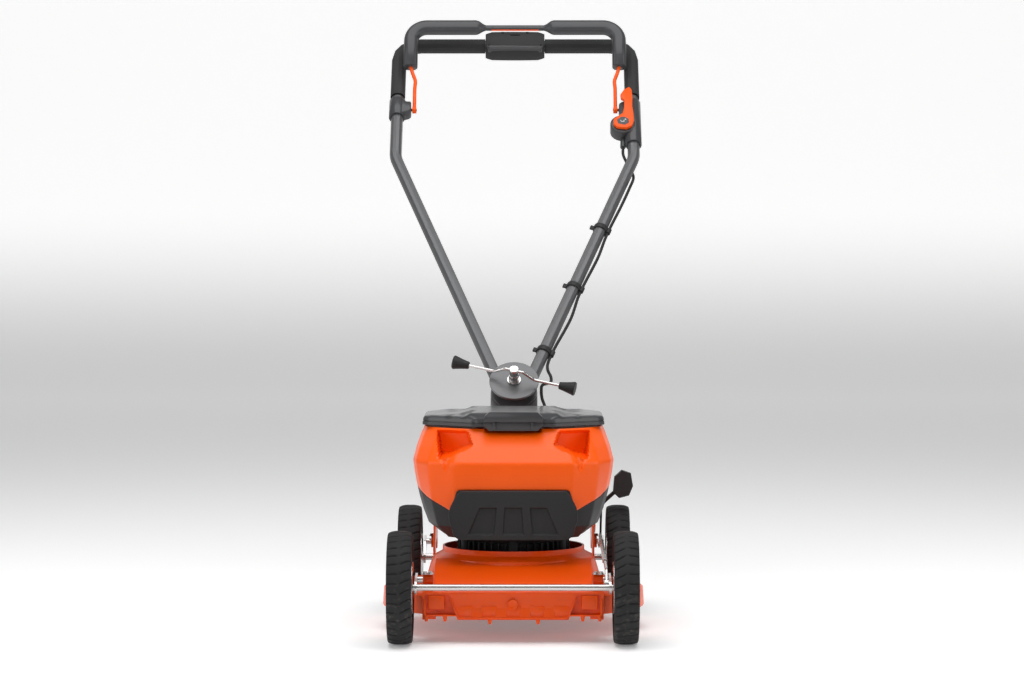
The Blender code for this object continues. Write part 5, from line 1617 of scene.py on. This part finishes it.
@dataclass
class Pods:
    """The joint housing, the pod with its thumb lever, and the dark seams where the grips end."""

    tube_x: float = 0.2450
    face: float = 0.0183
    wing: tuple[float, float] = (0.2235, 0.7160)

    def build(self, frame: Frame) -> set[str]:
        """Makes the housings and the lever, and returns the frame nodes that they stand for."""
        self.place = frame.handle_matrix()
        self.housing()
        self.pod()
        self.lever()
        self.seams()
        return {"joint_housing", "switch_pod", "thumb_lever"}

    def put(self, shape: Shape, name: str, finish: Finish, body: str = "handle",
            replaces: Sequence[str] = (), crease: float = 35.0) -> None:
        """Places a shape made in the handle's plane."""
        shape.move(list(shape.bm.verts), self.place)
        shape.piece(name, finish, body, replaces, crease=crease)

    def housing(self) -> None:
        """The right tube's sleeve with the bail's socket on its inner side."""
        x = -self.tube_x
        shape = Shape()
        shape.turned([(0.0130, 0.7505), (0.0166, 0.7505), (0.0172, 0.7520), (0.0172, 0.7985),
                      (0.0166, 0.8000), (0.0130, 0.8000)], (x, 0, 0), (0, 1, 0), 56)
        shape.prism([(x + 0.004, 0.7520), (x + 0.0240, 0.7600), (x + 0.0290, 0.7640), (x + 0.0290, 0.7885),
                     (x + 0.0190, 0.7885), (x + 0.0120, 0.7965), (x + 0.004, 0.7985)],
                    -0.0140, 0.0140, Plane.XY, 0.0035)
        shape.cylinder((-0.2160, 0.7750, 0), (-0.2045, 0.7750, 0), 0.0030, segments=24)
        self.put(shape, "housing_sleeve", GREY_SHELL, replaces=["joint_housing"])

    def pod(self) -> None:
        """The left tube's sleeve with a round wing under the thumb lever and a cable collar below."""
        x, (wing_x, wing_t) = self.tube_x, self.wing
        shape = Shape()
        shape.turned([(0.0130, 0.6690), (0.0164, 0.6690), (0.0170, 0.6705), (0.0172, 0.7930),
                      (0.0166, 0.7945), (0.0130, 0.7945)], (x, 0, 0), (0, 1, 0), 56)
        shape.cylinder((wing_x, wing_t, -0.0100), (wing_x, wing_t, self.face - 0.0006), 0.0260,
                       segments=72, rounding=0.0028)
        shape.prism([(0.2165, 0.7200), (0.2400, 0.7000), (0.2440, 0.7900), (0.2240, 0.7880),
                     (0.2165, 0.7820)], -0.0130, 0.0140, Plane.XY, 0.0035)
        shape.cylinder((wing_x, 0.6700, -0.0080), (wing_x + 0.0005, 0.6960, -0.0040), 0.0058, segments=32,
                       rounding=0.0008)
        shape.cylinder((0.2045, 0.7750, 0), (0.2180, 0.7750, 0), 0.0030, segments=24)
        self.put(shape, "pod_body", GREY_SHELL, replaces=["switch_pod"])

    def lever(self) -> None:
        """The orange thumb lever with its grey inlay and a plain picture of a hand and lever."""
        wing_x, wing_t = self.wing
        low, high = self.face + 0.0003, self.face + 0.0078
        head = [
            (-0.0190, 0.0060), (-0.0200, -0.0080), (-0.0120, -0.0180), (0.0080, -0.0205),
            (0.0190, -0.0130), (0.0230, 0.0020),
            (0.0225, 0.0220), (0.0205, 0.0460), (0.0215, 0.0700), (0.0200, 0.0950), (0.0150, 0.1035),
            (0.0040, 0.0950),
            (-0.0040, 0.0800), (-0.0030, 0.0680), (0.0040, 0.0640), (0.0030, 0.0400), (0.0000, 0.0240),
        ]
        shape = Shape()
        shape.prism([(wing_x + a, wing_t + b) for a, b in head], low, high, Plane.XY, 0.0018)
        self.put(shape, "thumb_lever_moulded", ORANGE_LEVER, "thumb_lever", ["thumb_lever"], 30.0)
        inlay = Shape()
        field = [(-0.0125, 0.0020), (-0.0100, -0.0090), (0.0040, -0.0130), (0.0125, -0.0060),
                 (0.0120, 0.0050), (0.0030, 0.0115), (-0.0040, 0.0105)]
        inlay.prism([(wing_x + a, wing_t + b) for a, b in field], high - 0.0006, high + 0.0003, Plane.XY)
        self.put(inlay, "thumb_inlay", GREY_SHELL, "thumb_lever")
        sign = Shape()
        for low_x, low_t, high_x, high_t in ((-0.0035, -0.0040, 0.0020, -0.0024),
                                             (0.0014, -0.0040, 0.0030, 0.0012),
                                             (0.0040, 0.0020, 0.0068, 0.0046),
                                             (-0.0050, -0.0016, -0.0036, 0.0008)):
            sign.box((wing_x + low_x, wing_t + low_t, high),
                     (wing_x + high_x, wing_t + high_t, high + 0.0005))
        self.put(sign, "thumb_sign", WHITE_PRINT, "thumb_lever")

    def seams(self) -> None:
        """A dark ring at each end of both grips."""
        shape = Shape()
        for side in Side:
            shape.turned([(0.0127, -0.0009), (0.0152, -0.0009), (0.0152, 0.0009), (0.0127, 0.0009)],
                         (side.value * self.tube_x, 0.8110, 0), (0, 1, 0), 48)
            shape.turned([(0.0127, -0.0009), (0.0148, -0.0009), (0.0148, 0.0009), (0.0127, 0.0009)],
                         (side.value * 0.0648, 0.9720, 0), (1, 0, 0), 48)
        self.put(shape, "grip_seams", BLACK_DEEP)


@dataclass
class Clamp:
    """The swivel's clamp: hexagon bolt, washers, joggled cross rod and two tapered knobs."""

    angle: float = math.radians(-16.6)
    bar_out: float = 0.0455
    drop: float = 0.0140
    knob_length: float = 0.0310

    def build(self, frame: Frame) -> set[str]:
        """Makes the clamp and returns the frame nodes that it stands for."""
        place = frame.handle_matrix() @ Matrix.Rotation(self.angle, 4, "Z")
        across = (frame.high("clamp_knob_left") - frame.low("clamp_knob_right")).x
        half = across / (2 * math.cos(self.angle)) - self.knob_length
        face = 0.0180
        bolt = Shape()
        bolt.cylinder((0, 0, -0.030), (0, 0, face + 0.002), 0.0060, segments=40)
        bolt.turned([(0.0, face), (0.0130, face), (0.0130, face + 0.0024), (0.0, face + 0.0024)],
                    (0, 0, 0), (0, 0, 1), 48)
        bolt.turned([(0.0, face + 0.0026), (0.0110, face + 0.0026), (0.0110, face + 0.0050),
                     (0.0, face + 0.0050)], (0, 0, 0), (0, 0, 1), 48)
        bolt.cylinder((0, 0, face + 0.005), (0, 0, face + 0.016), 0.0105, segments=6, rounding=0.0008)
        bolt.cylinder((0, 0, face + 0.016), (0, 0, self.bar_out + 0.0055), 0.0088, segments=40,
                      rounding=0.0012)
        bolt.move(list(bolt.bm.verts), place)
        bolt.piece("clamp_screw_bolt", ZINC, "clamp", ["clamp_bolt"], crease=28.0)
        low = self.bar_out - self.drop
        corners = [(-half, 0, low), (-half * 0.42, 0, low), (-half * 0.20, 0, self.bar_out),
                   (half * 0.20, 0, self.bar_out), (half * 0.42, 0, low), (half, 0, low)]
        route = rounded_route(corners, 0.016, 9)
        bar = tube("clamp_rod", [place @ point for point in route], 0.0029, 24)
        settle(bar, ZINC, "clamp", ["clamp_bar"])
        for side in Side:
            knob = Shape()
            knob.turned(
                [
                    (0.0, 0.0), (0.0066, 0.0), (0.0072, 0.0010), (0.0078, 0.0050), (0.0096, 0.0140),
                    (0.0122, 0.0245), (0.0134, 0.0285),
                    (0.0134, 0.0300), (0.0124, 0.0316), (0.0, 0.0322),
                ],
                (0, 0, 0), (0, 0, 1), 64,
            )
            spot = Matrix.Translation((side.value * (half - 0.004), 0,
                                       low)) @ Matrix.Rotation(side.value * math.radians(90), 4, "Y")
            knob.move(list(knob.bm.verts), place @ spot)
            knob.piece(f"clamp_grip_{side.word}", BLACK_SHELL, "clamp", [f"clamp_knob_{side.word}"],
                       crease=50.0)
        return {"clamp_bolt", "clamp_bar", "clamp_knob_left", "clamp_knob_right"}


@dataclass
class Cable:
    """The control cable from the pod to the body's rear, in slim clips, bending where the handle swings."""

    radius: float = 0.0030
    tube_radius: float = 0.0125
    clips: tuple[float, ...] = (0.0900, 0.2620, 0.4240)
    bend: float = 0.6320
    tube_x: float = 0.2450
    tube_foot: float = 0.0200

    def build(self, frame: Frame) -> set[str]:
        """Makes the cable and its clips, and returns the frame nodes that they stand for."""
        self.foot_x = 0.0267 + 0.3456 * self.tube_foot
        self.slope = (self.tube_x - self.foot_x) / (self.bend - self.tube_foot)
        upper = [frame.on_handle(*point) for point in self.upper_route()]
        lower = [frame.on_handle(0.0550, -0.003, 0.0075), frame.on_handle(0.0525, -0.012, 0.002),
                 frame.on_handle(0.0540, -0.026, -0.006)]
        shift = Vector((0.0, frame.pivot("cutter_spin").y, 0.0))
        lower += [Vector(p) + shift for p in ((0.0600, 0.262, 0.385), (0.0640, 0.238, 0.350),
                                              (0.0640, 0.205, 0.336), (0.0640, 0.1785, 0.335),
                                              (0.0640, 0.1700, 0.335))]
        cable = tube("held_cable", smooth_through(upper + lower, 8), self.radius, 16)
        bpy.context.scene.collection.objects.link(cable)
        cable.data.materials.append(SHEATH.material())
        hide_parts("control_cable", "cable_tail")
        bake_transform(cable)
        for number, along in enumerate(self.clips, 1):
            self.clip(frame, number, along)
        return {"control_cable", "cable_tail", "cable_clip_1", "cable_clip_2", "cable_clip_3"}

    def line_x(self, along: float) -> float:
        """How far the tube's axis stands from the middle."""
        share = (along - self.tube_foot) / (self.bend - self.tube_foot)
        return self.foot_x + (self.tube_x - self.foot_x) * share

    def beside(self, along: float, bow: float = 0.0) -> tuple[float, float, float]:
        """A cable point beside the tube."""
        return (self.line_x(along) + (self.tube_radius + self.radius + 0.0012) * math.hypot(1,
            self.slope) + bow, along, 0.0)

    def upper_route(self) -> list[tuple[float, float, float]]:
        """The cable's points in the handle's plane, from the pod down to the swivel."""
        first, second, third = self.clips
        route = [
            (0.2235, 0.6690, -0.008), (0.2240, 0.650, -0.011), (0.2350, 0.622, -0.0175),
            (self.line_x(0.588) + 0.0135, 0.588, -0.0125),
            self.beside(0.545, 0.002), self.beside(0.490, 0.002), self.beside(third + 0.012),
            self.beside(third - 0.026),
            self.beside(0.343, 0.003), self.beside(second + 0.012), self.beside(second - 0.026),
            self.beside(0.176, 0.005),
            self.beside(first + 0.012), self.beside(first - 0.026),
        ]
        return route + [(0.0650, 0.042, 0.002), (0.0710, 0.018, 0.007), (0.0700, 0.003, 0.008)]

    def clip(self, frame: Frame, number: int, along: float) -> None:
        """One slim clip with an eye for the cable and a pinched tab on the other side."""
        shape = Shape()
        outer, inner = self.tube_radius + 0.0024, self.tube_radius + 0.0004
        shape.turned([(inner, -0.0052), (outer, -0.0052), (outer + 0.0004, -0.0046),
                      (outer + 0.0004, 0.0046), (outer, 0.0052), (inner, 0.0052)],
                     (0, 0, 0), (0, 1, 0), 56)
        eye = self.tube_radius + self.radius + 0.0012
        shape.turned([(self.radius + 0.0002, -0.0060), (self.radius + 0.0021, -0.0060),
                      (self.radius + 0.0021, 0.0060), (self.radius + 0.0002, 0.0060)],
                     (eye, 0, 0), (0, 1, 0), 32)
        shape.box((-outer - 0.0072, -0.0046, -0.0024), (-outer + 0.0012, 0.0046, 0.0024), 0.0008)
        turn = Matrix.Rotation(-math.atan(self.slope), 4, "Z")
        shape.move(list(shape.bm.verts), frame.handle_matrix() @ Matrix.Translation((self.line_x(along),
            along, 0)) @ turn)
        shape.piece(f"clip_{number}", BLACK_SHELL, "handle", [f"cable_clip_{number}"], crease=35.0)


ASSEMBLIES = (Wheels(), Body(), Lid(), Deck(), MotorRing(), Bail(), Panel(), Pods(), Clamp(), Cable())


# ---------------------------------------------------------------- the whole mower


NODE_FINISHES: dict[Finish, tuple[str, ...]] = {
    ORANGE_STEEL: (
        "front_clamp_left", "front_clamp_right", "rear_clamp_left", "rear_clamp_right", "rear_bracket",
        "quadrant",
    ),
    BLACK_SHELL: ("battery_bay", "height_lever", "lever_knob"),
    GREY_SHELL: ("battery_pack",),
    GRIP: ("grip_left", "grip_right"),
    TUBE_COAT: ("tube_left", "tube_right", "upper_bar", "swivel_plate", "swivel_yoke"),
    ZINC: ("front_axle", "rear_axle", "lid_pin", "blade_bolt", "rotor_shaft"),
    ZINC_LONG: ("link_rod",),
    BLADE_STEEL: ("blade",),
    CAST: ("motor_can", "blade_hub", "controller"),
}
EDGE_WIDTHS: dict[str, float] = {
    "rear_bracket": 0.0010, "quadrant": 0.0008, "height_lever": 0.0006, "lever_knob": 0.0020,
    "battery_pack": 0.0015,
    "front_clamp_left": 0.0006, "front_clamp_right": 0.0006, "rear_clamp_left": 0.0006,
    "rear_clamp_right": 0.0006,
    "swivel_plate": 0.0008, "swivel_yoke": 0.0005, "blade": 0.0004,
}


def main() -> None:
    """Loads the frame and builds the mower's pieces in order."""
    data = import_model()
    data["bodies_by_name"] = data["record"]["behaviour"]["bodies"]
    frame = Frame(data)
    Studio().build(frame)
    taken: set[str] = set()
    for assembly in ASSEMBLIES:
        taken |= assembly.build(frame)
    finishes = {node: finish for finish, nodes in NODE_FINISHES.items() for node in nodes}
    FinerNodes(EDGE_WIDTHS, finishes).build(frame, taken)


if __name__ == "__main__":
    logging.basicConfig(level=logging.INFO)
    main()
